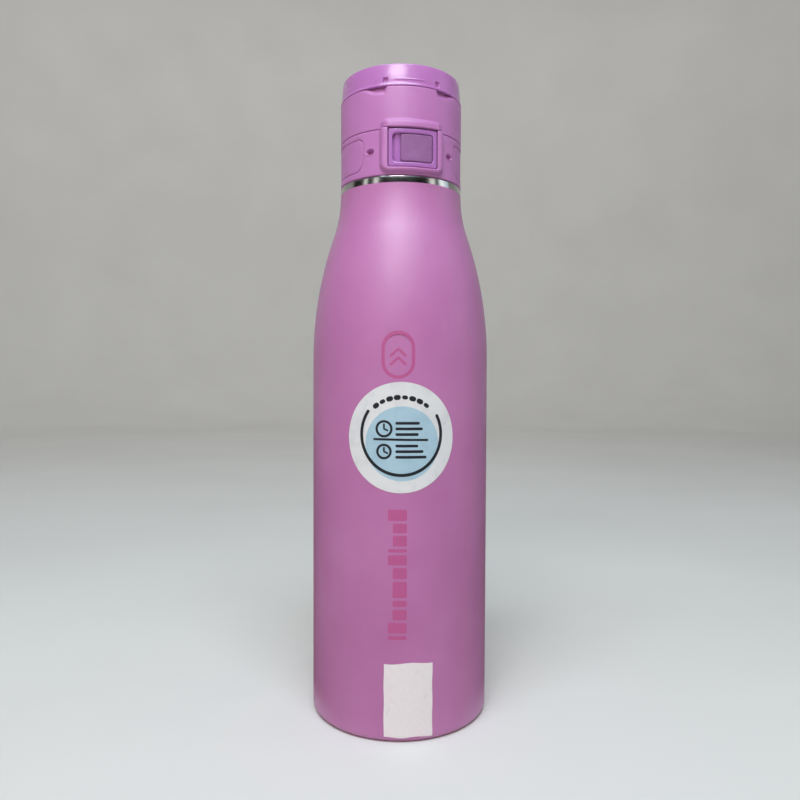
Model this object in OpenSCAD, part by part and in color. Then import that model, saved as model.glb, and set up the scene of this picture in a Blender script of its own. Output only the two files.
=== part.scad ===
// Insulated water bottle with a screw-on lid, a locking flip cover and a fold-flat carry handle.
// Millimetres, +Z up. The origin is at the centre of the base; the release button faces -Y.

/* [Bottle] */
// Outside diameter of the straight body
body_d = 73; // [70:0.5:76]
// Height at which the shoulder starts
shoulder_z = 145.8; // [130:0.1:150]
// Radius of the rounded edge around the base
base_edge_r = 3; // [2:0.5:4]
// Thickness of the outer steel wall
shell_wall = 0.7; // [0.5:0.1:0.8]
// Thickness of the inner steel wall
flask_wall = 0.6; // [0.4:0.1:0.7]

/* [Neck and thread] */
// Outside diameter of the bare steel band and of the lid
neck_d = 50.2; // [49.8:0.1:50.6]
// Inside diameter of the mouth
mouth_d = 38.4; // [38:0.1:38.8]
// Rise of the thread in one turn
thread_lead = 4; // [3.8:0.1:4.4]
// Turns of thread on the neck
thread_turns = 1.6; // [1:0.1:1.8]

/* [Lid] */
// Height of the lower part of the lid, up to its seam
collar_h = 17.5; // [17.4:0.1:17.8]
// Height of the flip cover, up to the seat of the handle
cover_h = 16.2; // [16.1:0.1:16.5]
// Height of the carry handle's ring
handle_h = 8.7; // [8.4:0.1:8.8]
// Width of the carry handle's ring, from its inner to its outer edge
handle_w = 6.6; // [6:0.1:6.8]

/* [Button and lock] */
// Width of the release button
button_w = 19.1; // [18:0.1:19.4]
// Travel of the release button
button_travel = 1.1; // [0.8:0.1:1.1]
// Width of the lock slider
slider_w = 12.6; // [12:0.1:12.8]
// Travel of the lock slider
slider_travel = 2.7; // [2:0.1:2.8]

/* [Labels] */
// Diameter of the round label
round_label_d = 41.6; // [30:0.1:44]
// Width of the paper label
paper_label_w = 18.7; // [10:0.1:24]

/* [Hidden] */
$fn = 96;
body_r = body_d / 2;
neck_r = neck_d / 2;
mouth_r = mouth_d / 2;

// Shoulder: a convex arc that runs into a concave one, each tangent to its neighbours.
shoulder_arc_r = 156;
neck_arc_r = 51.7;
shoulder_a = acos(1 - (body_r - neck_r) / (shoulder_arc_r + neck_arc_r));
coat_top_z = shoulder_z + (shoulder_arc_r + neck_arc_r) * sin(shoulder_a);
band_h = 2.7;
band_top_z = coat_top_z + band_h;

// Base cap and inner flask.
base_ring_w = 4.4;
base_slope_w = 2;
base_recess = 2;
base_wall = 0.8;
getter_r = 5;
getter_h = 2;
seal_r = 2.5;
flask_gap = 1.4;
flask_r = body_r - shell_wall - flask_gap;
flask_bottom_z = 6;
flask_edge_r = 7;
flask_shoulder_z = 140;
flask_arc_r = 150;
flask_neck_arc_r = 47;
foil_t = 0.2;
foil_z = 15;
foil_h = flask_shoulder_z - foil_z - 5;

// Neck tube and its thread.
neck_wall = 0.8;
tube_r = mouth_r + neck_wall;
crest_h = 1.1;
ridge_h = 1;
root_depth = 0.15;
lip_edge = 0.4;
mouth_z = band_top_z + 13.1;
thread_z = band_top_z + 3.2;
lid_bore_r = tube_r + 1.5;
liner_wall = 0.8;
liner_r = lid_bore_r + liner_wall;

// Clearances: round moving faces, beside a knuckle, and round a pin in its bore.
move_gap = 0.3;
side_gap = 0.15;
pin_gap = 0.06;

// Lid levels, from the bottom up.
lid_z = band_top_z + 0.15;
seam_z = lid_z + collar_h;
cover_z = seam_z + 0.15;
seat_z = cover_z + cover_h;
handle_z = seat_z + 0.2;
top_z = handle_z + handle_h;
gasket_t = 1.7;
gasket_z = mouth_z + 0.05;
gasket_over = 0.6;
deck_z = gasket_z + gasket_t + 0.05;
deck_top_z = deck_z + 1.7;
cover_wall = 2.4;
cavity_top_z = seat_z - 2.5;

// Bezel, button and slider stand on a gently bowed front.
front_bow_r = 34;
bezel_y = -neck_r - 1.9;
bezel_half_w = 12.3;
bezel_z = lid_z + 0.9;
button_y = bezel_y + 0.5;
button_half_w = button_w / 2;
button_gap = 0.2;
button_z = lid_z + 2.7;
button_top_z = seam_z - 0.4;
button_back_r = liner_r + button_travel + 0.5;
recess_half_w = (slider_w + slider_travel) / 2 + 0.25;
recess_z = button_z + 1.8;
recess_h = 10.8;
recess_y = button_y + 1.7;
slider_h = recess_h - 0.4;
slider_right_x = recess_half_w - 0.15;
slider_out = 0.1;

// The slider's stem goes through a slot in the button, and its clip holds it from behind.
stem_x = -0.9;
stem_w = 4;
stem_z = recess_z + 3.6;
stem_h = 3.8;
clip_over = 1.2;
clip_t = 0.5;
clip_y = recess_y + 0.6;

// Hood of the cover, and the latch tongue of the button that reaches up into it.
hood_half_w = 11.7;
hood_h = 4;
tongue_half_w = 6;
tongue_y = -liner_r - 2.1;
tongue_t = 0.9;
tongue_z = recess_z + recess_h - 1.4;
tongue_top_z = cover_z + 2.2;
pocket_y = bezel_y + 1.6;
pocket_top_z = tongue_top_z + 0.6;
catch_z = cover_z + 0.4;
catch_h = 0.8;

// Bowed spring leaf behind the button.
leaf_t = 0.25;
leaf_w = 2;
leaf_half_a = 14;

// Hinge of the flip cover, at the back.
hinge_y = neck_r - 0.8;
hinge_z = seam_z + 0.1;
hinge_r = 2.8;
hinge_pin_r = 1;
hinge_half_w = 9.5;
knuckle_x = 6.1;
spring_x = 2.6;
spring_wire_r = 0.3;
spring_coil_r = 1.5;
spring_turns = 5;

// Spout.
spout_y = -5;
spout_r = 10.2;
spout_bore_r = 7.5;
spout_top_z = cavity_top_z - 2.8;
flange_r = 12.5;
flange_top_z = deck_top_z + 1.6;
ring_in_r = 10.2;
ring_out_r = 11.8;
ring_depth = 0.6;
ring_h = 1;

// Inside of the cover: its liner, and the seal that closes the spout.
skirt_r = neck_r - cover_wall;
skirt_t = 0.8;
skirt_z = cover_z + 3;
ceiling_t = 1.2;
seal_holder_w = 1.2;
seal_disc_r = spout_r + 0.6;
seal_disc_z = spout_top_z + 0.1;
plug_r = spout_bore_r - 1;
plug_z = spout_top_z - 1.4;

// Carry handle: a ring that stops at two side pivots; a block of the cover fills in behind them.
handle_in_r = neck_r - handle_w;
pivot_y = 14;
pivot_z = handle_z + handle_h / 2;
arm_r = handle_h / 2;
arm_end_r = arm_r + 0.05;
arm_x = sqrt(handle_in_r * handle_in_r - pivot_y * pivot_y) + 0.4;
boss_half_w = arm_x - 0.8;
pivot_pin_r = 1.5;
pivot_pin_x = arm_x - 4;
pivot_pin_end_x = arm_x + 5;
rear_y = pivot_y + arm_r + move_gap;
handle_lip_h = 0.9;
handle_taper = 0.5;
handle_edge = 0.6;
plateau_r = handle_in_r - 2.3;
plateau_z = seat_z + 3.6;

// Side pads and dimples of the collar.
pad_from_a = 47.5;
pad_z = lid_z + 2.6;
pad_h = 12.6;
pad_r = neck_r - 0.2;
pad_t = 1;
dimple_a = 37.9;
dimple_z = lid_z + 9.5;
dimple_r = 1.1;
dimple_depth = 1.5;

// Labels.
round_label_a = -9.8;
round_label_z = 115.8;
round_label_t = 0.12;
paper_label_a = -4.9;
paper_label_z = 3;
paper_label_h = 27.5;
paper_label_t = 0.15;

steel = "silver";
coat = "orchid";
plastic = "plum";
print_white = "whitesmoke";

// ---- Profiles ---------------------------------------------------------------------------------

// Points up a shoulder that starts upright at (r0, z0) and is upright again at radius r1.
function shoulder(r0, z0, r1, convex_r, concave_r, steps = 16) =
    let (a = acos(1 - (r0 - r1) / (convex_r + concave_r)),
         rm = r0 - convex_r * (1 - cos(a)),
         zm = z0 + convex_r * sin(a))
    concat(
        [for (i = [0:steps]) let (t = a * i / steps) [r0 - convex_r * (1 - cos(t)), z0 + convex_r * sin(t)]],
        [for (i = [1:steps]) let (t = a * (1 - i / steps))
            [rm - concave_r * (cos(t) - cos(a)), zm + concave_r * (sin(a) - sin(t))]]);

// Points round a quarter circle from the flat base, at (r - edge, z), to the wall, at (r, z + edge).
function base_edge(r, z, edge, steps = 8) =
    [for (i = [0:steps]) let (t = 90 * i / steps) [r - edge + edge * sin(t), z + edge - edge * cos(t)]];

function reversed(list) = [for (i = [len(list) - 1:-1:0]) list[i]];

// ---- Shared shapes ----------------------------------------------------------------------------

module tube(r_out, r_in, z, h) {
    translate([0, 0, z])
        difference() {
            cylinder(r = r_out, h = h);
            translate([0, 0, -1]) cylinder(r = r_in, h = h + 2);
        }
}

module disc(r, z, h) {
    translate([0, 0, z]) cylinder(r = r, h = h);
}

// A bar along X at (y, z), as long on the left as on the right.
module x_bar(r, half_w, y, z) {
    translate([-half_w, y, z]) rotate([0, 90, 0]) cylinder(r = r, h = 2 * half_w);
}

// The same bar on both sides, from x0 to x1.
module x_bars(r, x0, x1, y, z) {
    for (side = [0, 1])
        mirror([side, 0, 0])
            translate([x0, y, z]) rotate([0, 90, 0]) cylinder(r = r, h = x1 - x0);
}

// A block given by its two corners.
module block(low, high) {
    translate(low) cube(high - low);
}

// A block whose front is bowed: its foremost point is at y_front.
module bowed_block(half_w, y_front, y_back, z, h) {
    intersection() {
        block([-half_w, y_front - 1, z], [half_w, y_back, z + h]);
        translate([0, y_front + front_bow_r, z - 1]) cylinder(r = front_bow_r, h = h + 2);
    }
}

// A sector of a tube, centred on angle a, measured round from -Y towards +X.
module sector(r_out, r_in, a, half_a, z, h) {
    rotate([0, 0, a - 90 - half_a])
        rotate_extrude(angle = 2 * half_a)
            translate([r_in, z]) square([r_out - r_in, h]);
}

// A ridge that climbs one lead a turn: base on radius r, crest out by rise (inwards if negative).
module thread_ridge(r, rise, z, base_w, crest_w, turns) {
    steps = ceil(turns * 48);
    outwards = rise > 0;
    root = outwards ? r - root_depth : r + root_depth;
    ring = function (i)
        let (t = i / steps,
             grow = min(1, 12 * min(t, 1 - t) + 0.05),
             a = 360 * turns * t,
             zc = z + thread_lead * turns * t,
             crest = r + rise * grow)
        [for (p = [[root, -base_w / 2], [crest, -crest_w / 2], [crest, crest_w / 2], [root, base_w / 2]])
            [p[0] * cos(a), p[0] * sin(a), zc + p[1]]];
    points = [for (i = [0:steps]) each ring(i)];
    sides = [for (i = [0:steps - 1], j = [0:3])
        let (k = (j + 1) % 4, b = 4 * i) [b + j, b + 4 + j, b + 4 + k, b + k]];
    ends = [[0, 1, 2, 3], [for (j = [3:-1:0]) 4 * steps + j]];
    faces = concat(sides, ends);
    polyhedron(points, outwards ? [for (f = faces) reversed(f)] : faces);
}

// A wire wound round the X axis at (y, z), from x0 to x1.
module wire_coil(wire_r, coil_r, x0, x1, turns, y, z) {
    around = 8;
    steps = turns * 16;
    points = [for (i = [0:steps], j = [0:around - 1])
        let (a = 360 * turns * i / steps, b = 360 * j / around, c = coil_r + wire_r * cos(b))
        [x0 + wire_r + (x1 - x0 - 2 * wire_r) * i / steps + wire_r * sin(b), y + c * cos(a), z + c * sin(a)]];
    sides = [for (i = [0:steps - 1], j = [0:around - 1])
        let (k = (j + 1) % around, p = i * around) [p + j, p + k, p + around + k, p + around + j]];
    ends = [[for (j = [around - 1:-1:0]) j], [for (j = [0:around - 1]) steps * around + j]];
    polyhedron(points, concat(sides, ends));
}

// ---- Bottle -----------------------------------------------------------------------------------

module outer_shell() {
    outside = concat(base_edge(body_r, 0, base_edge_r),
        shoulder(body_r, shoulder_z, neck_r, shoulder_arc_r, neck_arc_r));
    inside = concat(base_edge(body_r - shell_wall, shell_wall, base_edge_r - shell_wall),
        shoulder(body_r - shell_wall, shoulder_z, neck_r - shell_wall, shoulder_arc_r, neck_arc_r));
    color(coat) rotate_extrude() polygon(concat(outside, reversed(inside)));
}

// Bare steel: the band under the lid, the tube of the neck and its thread.
module neck_ring() {
    color(steel) {
        rotate_extrude()
            polygon([
                [mouth_r, coat_top_z], [tube_r, coat_top_z],
                [tube_r, band_top_z - neck_wall], [neck_r - shell_wall, band_top_z - neck_wall],
                [neck_r - shell_wall, coat_top_z], [neck_r, coat_top_z],
                [neck_r, band_top_z - lip_edge], [neck_r - lip_edge, band_top_z],
                [tube_r, band_top_z], [tube_r, mouth_z - lip_edge],
                [tube_r - lip_edge, mouth_z], [mouth_r, mouth_z]
            ]);
        thread_ridge(tube_r, crest_h, thread_z, 2, 0.9, thread_turns);
    }
}

module inner_flask() {
    inner_r = flask_r - flask_wall;
    outside = concat([[0, flask_bottom_z]], base_edge(flask_r, flask_bottom_z, flask_edge_r),
        shoulder(flask_r, flask_shoulder_z, tube_r, flask_arc_r, flask_neck_arc_r), [[tube_r, coat_top_z]]);
    inside = concat([[0, flask_bottom_z + flask_wall]],
        base_edge(inner_r, flask_bottom_z + flask_wall, flask_edge_r - flask_wall),
        shoulder(inner_r, flask_shoulder_z, mouth_r, flask_arc_r, flask_neck_arc_r), [[mouth_r, coat_top_z]]);
    color(steel) rotate_extrude() polygon(concat(outside, reversed(inside)));
}

module foil_wrap() {
    color("peru") tube(flask_r + foil_t, flask_r, foil_z, foil_h);
}

// Pressed cap that closes the base: it stands on its rim, and its middle is raised.
module shell_base() {
    rim_r = body_r - base_edge_r;
    inner_r = rim_r - base_ring_w;
    color(steel)
        rotate_extrude()
            polygon([
                [0, base_recess], [inner_r - base_slope_w, base_recess], [inner_r, 0], [rim_r, 0],
                [rim_r, base_wall], [inner_r + 0.3, base_wall],
                [inner_r + 0.3 - base_slope_w, base_recess + base_wall], [0, base_recess + base_wall]
            ]);
}

module vacuum_getter() {
    color("gray") disc(getter_r, base_recess + base_wall, getter_h);
}

module vacuum_seal() {
    color("dimgray") disc(seal_r, base_recess - base_wall, base_wall);
}

module round_label() {
    color(print_white)
        intersection() {
            tube(body_r + round_label_t, body_r, round_label_z - round_label_d, 2 * round_label_d);
            rotate([0, 0, round_label_a])
                translate([0, 0, round_label_z]) rotate([90, 0, 0]) cylinder(r = round_label_d / 2, h = body_d);
        }
}

module paper_label() {
    half_a = paper_label_w / body_d * 180 / PI;
    color(print_white)
        sector(body_r + paper_label_t, body_r, paper_label_a, half_a, paper_label_z, paper_label_h);
}

// ---- Lid --------------------------------------------------------------------------------------

module mouth_gasket() {
    color("white") tube(lid_bore_r - 0.25, mouth_r - gasket_over, gasket_z, gasket_t);
}

// Everything in front of the liner that the button needs clear.
module button_window() {
    difference() {
        block([-button_half_w - button_gap, bezel_y - 1, button_z - button_gap],
            [button_half_w + button_gap, 0, seam_z + 1]);
        disc(liner_r + 0.05, lid_z - 1, collar_h + 3);
    }
}

module lid_collar() {
    color(plastic)
        difference() {
            union() {
                tube(neck_r, liner_r + 0.05, lid_z, collar_h);
                disc(neck_r - 1, deck_top_z, seam_z - deck_top_z);
                difference() {
                    bowed_block(bezel_half_w, bezel_y, -20, bezel_z, seam_z - bezel_z);
                    disc(neck_r - 1, lid_z - 1, collar_h + 2);
                }
                x_bars(hinge_r, knuckle_x + side_gap, hinge_half_w, hinge_y, hinge_z);
            }
            button_window();
            at_spout() disc(flange_r + 0.2, deck_top_z - 1, 5);
            disc(liner_r + 0.05, lid_z - 1, deck_top_z - lid_z + 1);
            x_bar(hinge_r + move_gap, knuckle_x, hinge_y, hinge_z);
            x_bar(hinge_pin_r, hinge_half_w + 1, hinge_y, hinge_z);
            for (side = [-1, 1]) {
                sector(neck_r + 1, pad_r - pad_t, side * 90, 90 - pad_from_a, pad_z, pad_h);
                rotate([0, 0, side * dimple_a])
                    translate([0, dimple_depth - neck_r, dimple_z])
                        rotate([90, 0, 0]) cylinder(r = dimple_r, h = 2 * dimple_depth);
            }
        }
}

module at_spout() {
    translate([0, spout_y, 0]) children();
}

module threaded_liner() {
    color("thistle") {
        difference() {
            disc(liner_r, lid_z + 0.6, deck_top_z - lid_z - 0.6);
            disc(lid_bore_r, lid_z, deck_z - lid_z);
            at_spout() disc(spout_bore_r, deck_z - 1, 5);
            x_bar(hinge_r + move_gap, knuckle_x, hinge_y, hinge_z);
            at_spout() tube(ring_out_r, ring_in_r, deck_top_z - ring_depth, 2);
        }
        thread_ridge(lid_bore_r, -ridge_h, thread_z - 1.5, 1.6, 0.8, thread_turns);
    }
}

module spout() {
    color(plastic)
        at_spout()
            difference() {
                rotate_extrude()
                    polygon([
                        [spout_bore_r, deck_top_z], [flange_r, deck_top_z],
                        [flange_r, flange_top_z - 0.4], [flange_r - 0.4, flange_top_z],
                        [spout_r + 0.8, flange_top_z], [spout_r, flange_top_z + 1.4],
                        [spout_r - 0.6, spout_top_z - 1], [spout_r - 1.2, spout_top_z],
                        [spout_bore_r + 0.5, spout_top_z], [spout_bore_r, spout_top_z - 0.6]
                    ]);
                tube(ring_out_r, ring_in_r, deck_top_z - ring_depth, ring_h);
            }
}

module spout_gasket() {
    color("white") at_spout() tube(ring_out_r, ring_in_r, deck_top_z - ring_depth, ring_h);
}

module side_pad(side) {
    color(plastic) sector(pad_r, pad_r - pad_t, side * 90, 90 - pad_from_a, pad_z, pad_h);
}

module cover_hinge_pin() {
    color(steel) x_bar(hinge_pin_r, hinge_half_w, hinge_y, hinge_z);
}

module cover_spring() {
    color(steel)
        wire_coil(spring_wire_r, spring_coil_r, move_gap - spring_x, spring_x - move_gap, spring_turns,
            hinge_y, hinge_z);
}

// Bowed leaf that pushes the button out again.
module button_spring() {
    leaf_r = button_back_r - side_gap;
    color(steel) sector(leaf_r, leaf_r - leaf_t, 0, leaf_half_a, button_z + 1.2, leaf_w);
}

// ---- Flip cover -------------------------------------------------------------------------------

module flip_cover() {
    color(plastic)
        difference() {
            union() {
                disc(neck_r, cover_z, cover_h);
                disc(plateau_r, seat_z - 1, plateau_z - seat_z + 1);
                bowed_block(hood_half_w, bezel_y, 0, cover_z, hood_h);
                intersection() {
                    disc(neck_r, seat_z - 1, top_z - seat_z + 1);
                    union() {
                        block([-neck_r, rear_y, seat_z - 1], [neck_r, neck_r, top_z]);
                        block([-boss_half_w, pivot_y - arm_r, seat_z - 1], [boss_half_w, neck_r, top_z]);
                    }
                }
                x_bar(hinge_r, knuckle_x - side_gap, hinge_y, hinge_z);
            }
            difference() {
                disc(skirt_r, cover_z - 1, cavity_top_z - cover_z + 1);
                x_bar(hinge_r, knuckle_x - side_gap, hinge_y, hinge_z);
            }
            block([-tongue_half_w - 0.6, pocket_y, cover_z - 1], [tongue_half_w + 0.6, 0, pocket_top_z]);
            x_bars(hinge_r + move_gap, knuckle_x - side_gap, neck_r, hinge_y, hinge_z);
            x_bar(hinge_pin_r + pin_gap, hinge_half_w, hinge_y, hinge_z);
            x_bar(hinge_r + move_gap, spring_x, hinge_y, hinge_z);
            x_bars(arm_r + move_gap, boss_half_w, neck_r, pivot_y, pivot_z);
            x_bars(pivot_pin_r, pivot_pin_x, arm_x, pivot_y, pivot_z);
            finger_scoops();
        }
}

// Two hollows under the handle's front edge, for the fingertips that lift it.
module finger_scoops() {
    for (side = [-1, 1])
        rotate([0, 0, side * 38])
            translate([0, -neck_r - 3.2, seat_z + 2.6]) sphere(r = 8);
}

module cover_liner() {
    color("thistle")
        difference() {
            union() {
                disc(skirt_r, cavity_top_z - ceiling_t, ceiling_t);
                tube(skirt_r, skirt_r - skirt_t, skirt_z, cavity_top_z - skirt_z);
                at_spout() tube(seal_disc_r + seal_holder_w, seal_disc_r, seal_disc_z + 0.2, 2);
            }
            block([-tongue_half_w - 1, -neck_r, cover_z], [tongue_half_w + 1, -15, tongue_top_z + 1.5]);
            block([-hinge_half_w - 1, hinge_y - 6, cover_z], [hinge_half_w + 1, neck_r, cover_z + 6]);
        }
}

module spout_seal() {
    color("white")
        at_spout() {
            disc(seal_disc_r, seal_disc_z, cavity_top_z - ceiling_t - seal_disc_z);
            disc(plug_r, plug_z, seal_disc_z - plug_z + 0.5);
        }
}

// Steel strike on the front wall of the hood's pocket, just ahead of the latch tongue.
module catch_plate() {
    color(steel)
        block([-tongue_half_w, pocket_y, catch_z], [tongue_half_w, tongue_y - 0.4, catch_z + catch_h]);
}

module handle_pins() {
    color(steel) x_bars(pivot_pin_r, pivot_pin_x, pivot_pin_end_x, pivot_y, pivot_z);
}

module carry_handle() {
    color(coat)
        difference() {
            rotate_extrude()
                polygon([
                    [handle_in_r, handle_z], [neck_r, handle_z], [neck_r, handle_z + handle_lip_h],
                    [neck_r - handle_taper, top_z - handle_edge],
                    [neck_r - handle_taper - handle_edge, top_z], [handle_in_r + handle_edge, top_z],
                    [handle_in_r, top_z - handle_edge]
                ]);
            // behind the pivots only the round ends of the two arms are left
            difference() {
                block([-neck_r - 1, pivot_y, handle_z - 1], [neck_r + 1, neck_r + 1, top_z + 1]);
                x_bars(arm_end_r, arm_x, neck_r + 2, pivot_y, pivot_z);
            }
            x_bars(pivot_pin_r + pin_gap, 0, pivot_pin_end_x + move_gap, pivot_y, pivot_z);
        }
}

// ---- Button and lock --------------------------------------------------------------------------

module release_button() {
    color("mediumorchid")
        difference() {
            bowed_block(button_half_w, button_y, -15, button_z, button_top_z - button_z);
            disc(button_back_r, lid_z, collar_h + 2);
            block([-recess_half_w, button_y - 1, recess_z], [recess_half_w, recess_y, recess_z + recess_h]);
            slider_room(stem_x, stem_w, button_y, stem_z, stem_h);
            slider_room(stem_x - clip_over, stem_w + 2 * clip_over, clip_y, stem_z - clip_over,
                stem_h + 2 * clip_over);
            block([-tongue_half_w, tongue_y, tongue_z], [tongue_half_w, 0, seam_z]);
        }
}

// What a piece of the slider, w wide and h high, needs clear behind y over its travel.
module slider_room(x, w, y, z, h) {
    block([x - slider_travel - move_gap, y, z - 0.2], [x + w + move_gap, 0, z + h + 0.2]);
}

module latch_tongue() {
    color(steel)
        block([-tongue_half_w, tongue_y, tongue_z], [tongue_half_w, tongue_y + tongue_t, tongue_top_z]);
}

module lock_slider() {
    z = recess_z + 0.2;
    color("rosybrown") {
        intersection() {
            block([slider_right_x - slider_w, button_y - 1, z], [slider_right_x, recess_y - 0.05, z + slider_h]);
            translate([0, button_y + slider_out + front_bow_r, z - 1]) cylinder(r = front_bow_r, h = slider_h + 2);
        }
        block([stem_x, recess_y - 0.05, stem_z], [stem_x + stem_w, clip_y + 0.05, stem_z + stem_h]);
    }
}

module slider_clip() {
    color("white")
        block([stem_x - clip_over, clip_y + 0.05, stem_z - clip_over],
            [stem_x + stem_w + clip_over, clip_y + 0.05 + clip_t, stem_z + stem_h + clip_over]);
}

outer_shell();
neck_ring();
inner_flask();
foil_wrap();
shell_base();
vacuum_getter();
vacuum_seal();
round_label();
paper_label();
mouth_gasket();
lid_collar();
threaded_liner();
spout();
spout_gasket();
side_pad(-1);  // side_pad_left
side_pad(1);  // side_pad_right
cover_hinge_pin();
cover_spring();
button_spring();
flip_cover();
cover_liner();
spout_seal();
catch_plate();
handle_pins();
carry_handle();
release_button();
latch_tongue();
lock_slider();
slider_clip();
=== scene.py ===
"""Looks of the insulated water bottle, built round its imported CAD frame.

Lengths in the building functions are millimetres; the last step of each turns them into metres.
phi is an angle round the bottle's axis, in degrees from the button's side (-Y) towards +X.
"""

import math

import bmesh
import bpy
import numpy as np
from mathutils import Euler, Matrix, Vector


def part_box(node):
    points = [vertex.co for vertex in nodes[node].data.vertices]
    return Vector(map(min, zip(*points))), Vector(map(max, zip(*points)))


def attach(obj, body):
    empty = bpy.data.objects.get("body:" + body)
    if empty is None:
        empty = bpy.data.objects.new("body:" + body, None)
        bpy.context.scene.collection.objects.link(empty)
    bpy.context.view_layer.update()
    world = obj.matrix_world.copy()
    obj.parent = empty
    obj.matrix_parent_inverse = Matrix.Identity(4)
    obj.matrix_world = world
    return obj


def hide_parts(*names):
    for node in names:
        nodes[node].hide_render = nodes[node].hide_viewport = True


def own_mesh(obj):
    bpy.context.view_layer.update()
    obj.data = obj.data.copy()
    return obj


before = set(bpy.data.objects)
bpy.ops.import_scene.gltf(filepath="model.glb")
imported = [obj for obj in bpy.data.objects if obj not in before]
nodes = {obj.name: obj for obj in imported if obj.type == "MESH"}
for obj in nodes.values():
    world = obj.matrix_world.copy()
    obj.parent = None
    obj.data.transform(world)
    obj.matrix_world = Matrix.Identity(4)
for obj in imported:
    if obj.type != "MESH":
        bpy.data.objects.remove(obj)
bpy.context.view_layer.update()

MM = 0.001


def low(node, axis):
    """Lowest coordinate of a CAD node along an axis, in millimetres."""
    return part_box(node)[0][axis] / MM


def high(node, axis):
    """Highest coordinate of a CAD node along an axis, in millimetres."""
    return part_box(node)[1][axis] / MM


X, Y, Z = 0, 1, 2

# Levels and radii that the frame gives.
BODY_R = high("outer_shell", X)
COAT_TOP = high("outer_shell", Z)
BASE_R = high("shell_base", X)
NECK_R = high("neck_ring", X)
MOUTH_Z = high("neck_ring", Z)
COLLAR_Z = low("lid_collar", Z)
LINER_R = high("threaded_liner", X)
CATCH_Z = low("catch_plate", Z)
COVER_Z = CATCH_Z - 0.4
HANDLE_Z = low("carry_handle", Z)
SEAT_Z = HANDLE_Z - 0.2
TOP_Z = high("carry_handle", Z)
SPOUT_Z = low("spout", Z)
SPOUT_TOP = high("spout", Z)
SPOUT_Y = (low("spout", Y) + high("spout", Y)) / 2
BUTTON_W = high("release_button", X)
BUTTON_Z = low("release_button", Z)
BUTTON_TOP = high("release_button", Z)
BUTTON_Y = low("release_button", Y)
TONGUE_Y = low("latch_tongue", Y)
HINGE_Y = (low("cover_hinge_pin", Y) + high("cover_hinge_pin", Y)) / 2
HINGE_Z = (low("cover_hinge_pin", Z) + high("cover_hinge_pin", Z)) / 2
SEAM_Z = HINGE_Z - 0.1
HINGE_HALF_W = high("cover_hinge_pin", X)
PIVOT_Y = (low("handle_pins", Y) + high("handle_pins", Y)) / 2
PIVOT_Z = (low("handle_pins", Z) + high("handle_pins", Z)) / 2
ARM_R = (TOP_Z - HANDLE_Z) / 2
BEZEL_Y = low("lid_collar", Y)

# Sizes of the cover's knuckles, and the gap that moving parts keep.
KNUCKLE_HALF_W, KNUCKLE_R = 5.95, 2.8
MOVE_GAP = 0.3
KNUCKLE_ROOM = KNUCKLE_R + MOVE_GAP

# ---- Camera, light and stage -----------------------------------------------------------------


CAMERA_AZIMUTH = math.radians(10.5)
STRIP_R, SCREEN_R = 1.5, 1.8


def make_camera():
    """The view of the photograph: close, at mid height, a little to the left of the button."""
    azimuth, distance, height = CAMERA_AZIMUTH, 0.2936, 0.1372
    pitch, roll, lens = math.radians(1.63), 0.0036, 31.1
    data = bpy.data.cameras.new("camera")
    data.lens = lens
    data.sensor_width = 36
    data.clip_start = 0.01
    camera = bpy.data.objects.new("camera", data)
    camera.location = (-distance * math.sin(azimuth), -distance * math.cos(azimuth), height)
    look = Euler((math.pi / 2 - pitch, 0, -azimuth)).to_matrix()
    camera.rotation_euler = (look @ Matrix.Rotation(roll, 3, "Z")).to_euler()
    bpy.context.scene.collection.objects.link(camera)
    bpy.context.scene.camera = camera


def area_light(name, place, aim, width, height, power, colour, shape="ELLIPSE"):
    """A soft lamp at place, turned to aim."""
    data = bpy.data.lights.new(name, "AREA")
    data.shape = shape
    data.size, data.size_y = width, height
    data.energy = power
    data.color = colour
    lamp = bpy.data.objects.new(name, data)
    lamp.location = place
    lamp.rotation_euler = (Vector(aim) - Vector(place)).to_track_quat("-Z", "Y").to_euler()
    bpy.context.scene.collection.objects.link(lamp)
    return lamp


def make_lights():
    """A broad lamp overhead, a panel and a small key in front, soft fill, and a wash on the wall."""
    white, warm, sky = (0.98, 0.97, 1.0), (1.0, 0.60, 0.36), (0.78, 0.89, 1.0)
    area_light("overhead", (-0.15, -0.52, 1.25), (0, 0, 0.20), 1.1, 0.5, 12.8, (0.76, 0.91, 1.0))
    area_light("panel", (-0.30, -1.50, 1.40), (0, 0, 0.20), 2.4, 0.9, 3.4, (0.66, 0.82, 1.0))
    area_light("key", (-0.12, -0.38, 0.50), (0, 0, 0.20), 0.25, 0.09, 0.80, white)
    low_fill = area_light("low_fill", (-0.60, -1.25, 0.40), (0, 0, 0.02), 1.0, 0.5, 3.0, warm)
    low_fill.visible_glossy = False
    area_light("side_fill", (1.2, -0.3, 0.5), (0, 0, 0.15), 0.5, 0.9, 0.7, sky)
    area_light("wall_wash", (0, 0.9, 1.9), (0, 2.5, 0.5), 2.4, 0.4, 13.5, (0.97, 0.99, 1.0), "RECTANGLE")
    make_strips()
    make_screen("dark_screen", 100, [(SCREEN_R, 0.35), (SCREEN_R, 1.0)], (0.03, 0.03, 0.03))
    make_screen("brown_ground", 180, [(0.045, 0.001), (SCREEN_R, 0.001)], (0.20, 0.135, 0.085))
    world = bpy.data.worlds.new("world")
    world.use_nodes = True
    background = world.node_tree.nodes["Background"]
    background.inputs["Color"].default_value = (0.88, 0.92, 0.96, 1)
    background.inputs["Strength"].default_value = 0.10
    bpy.context.scene.world = world


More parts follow.
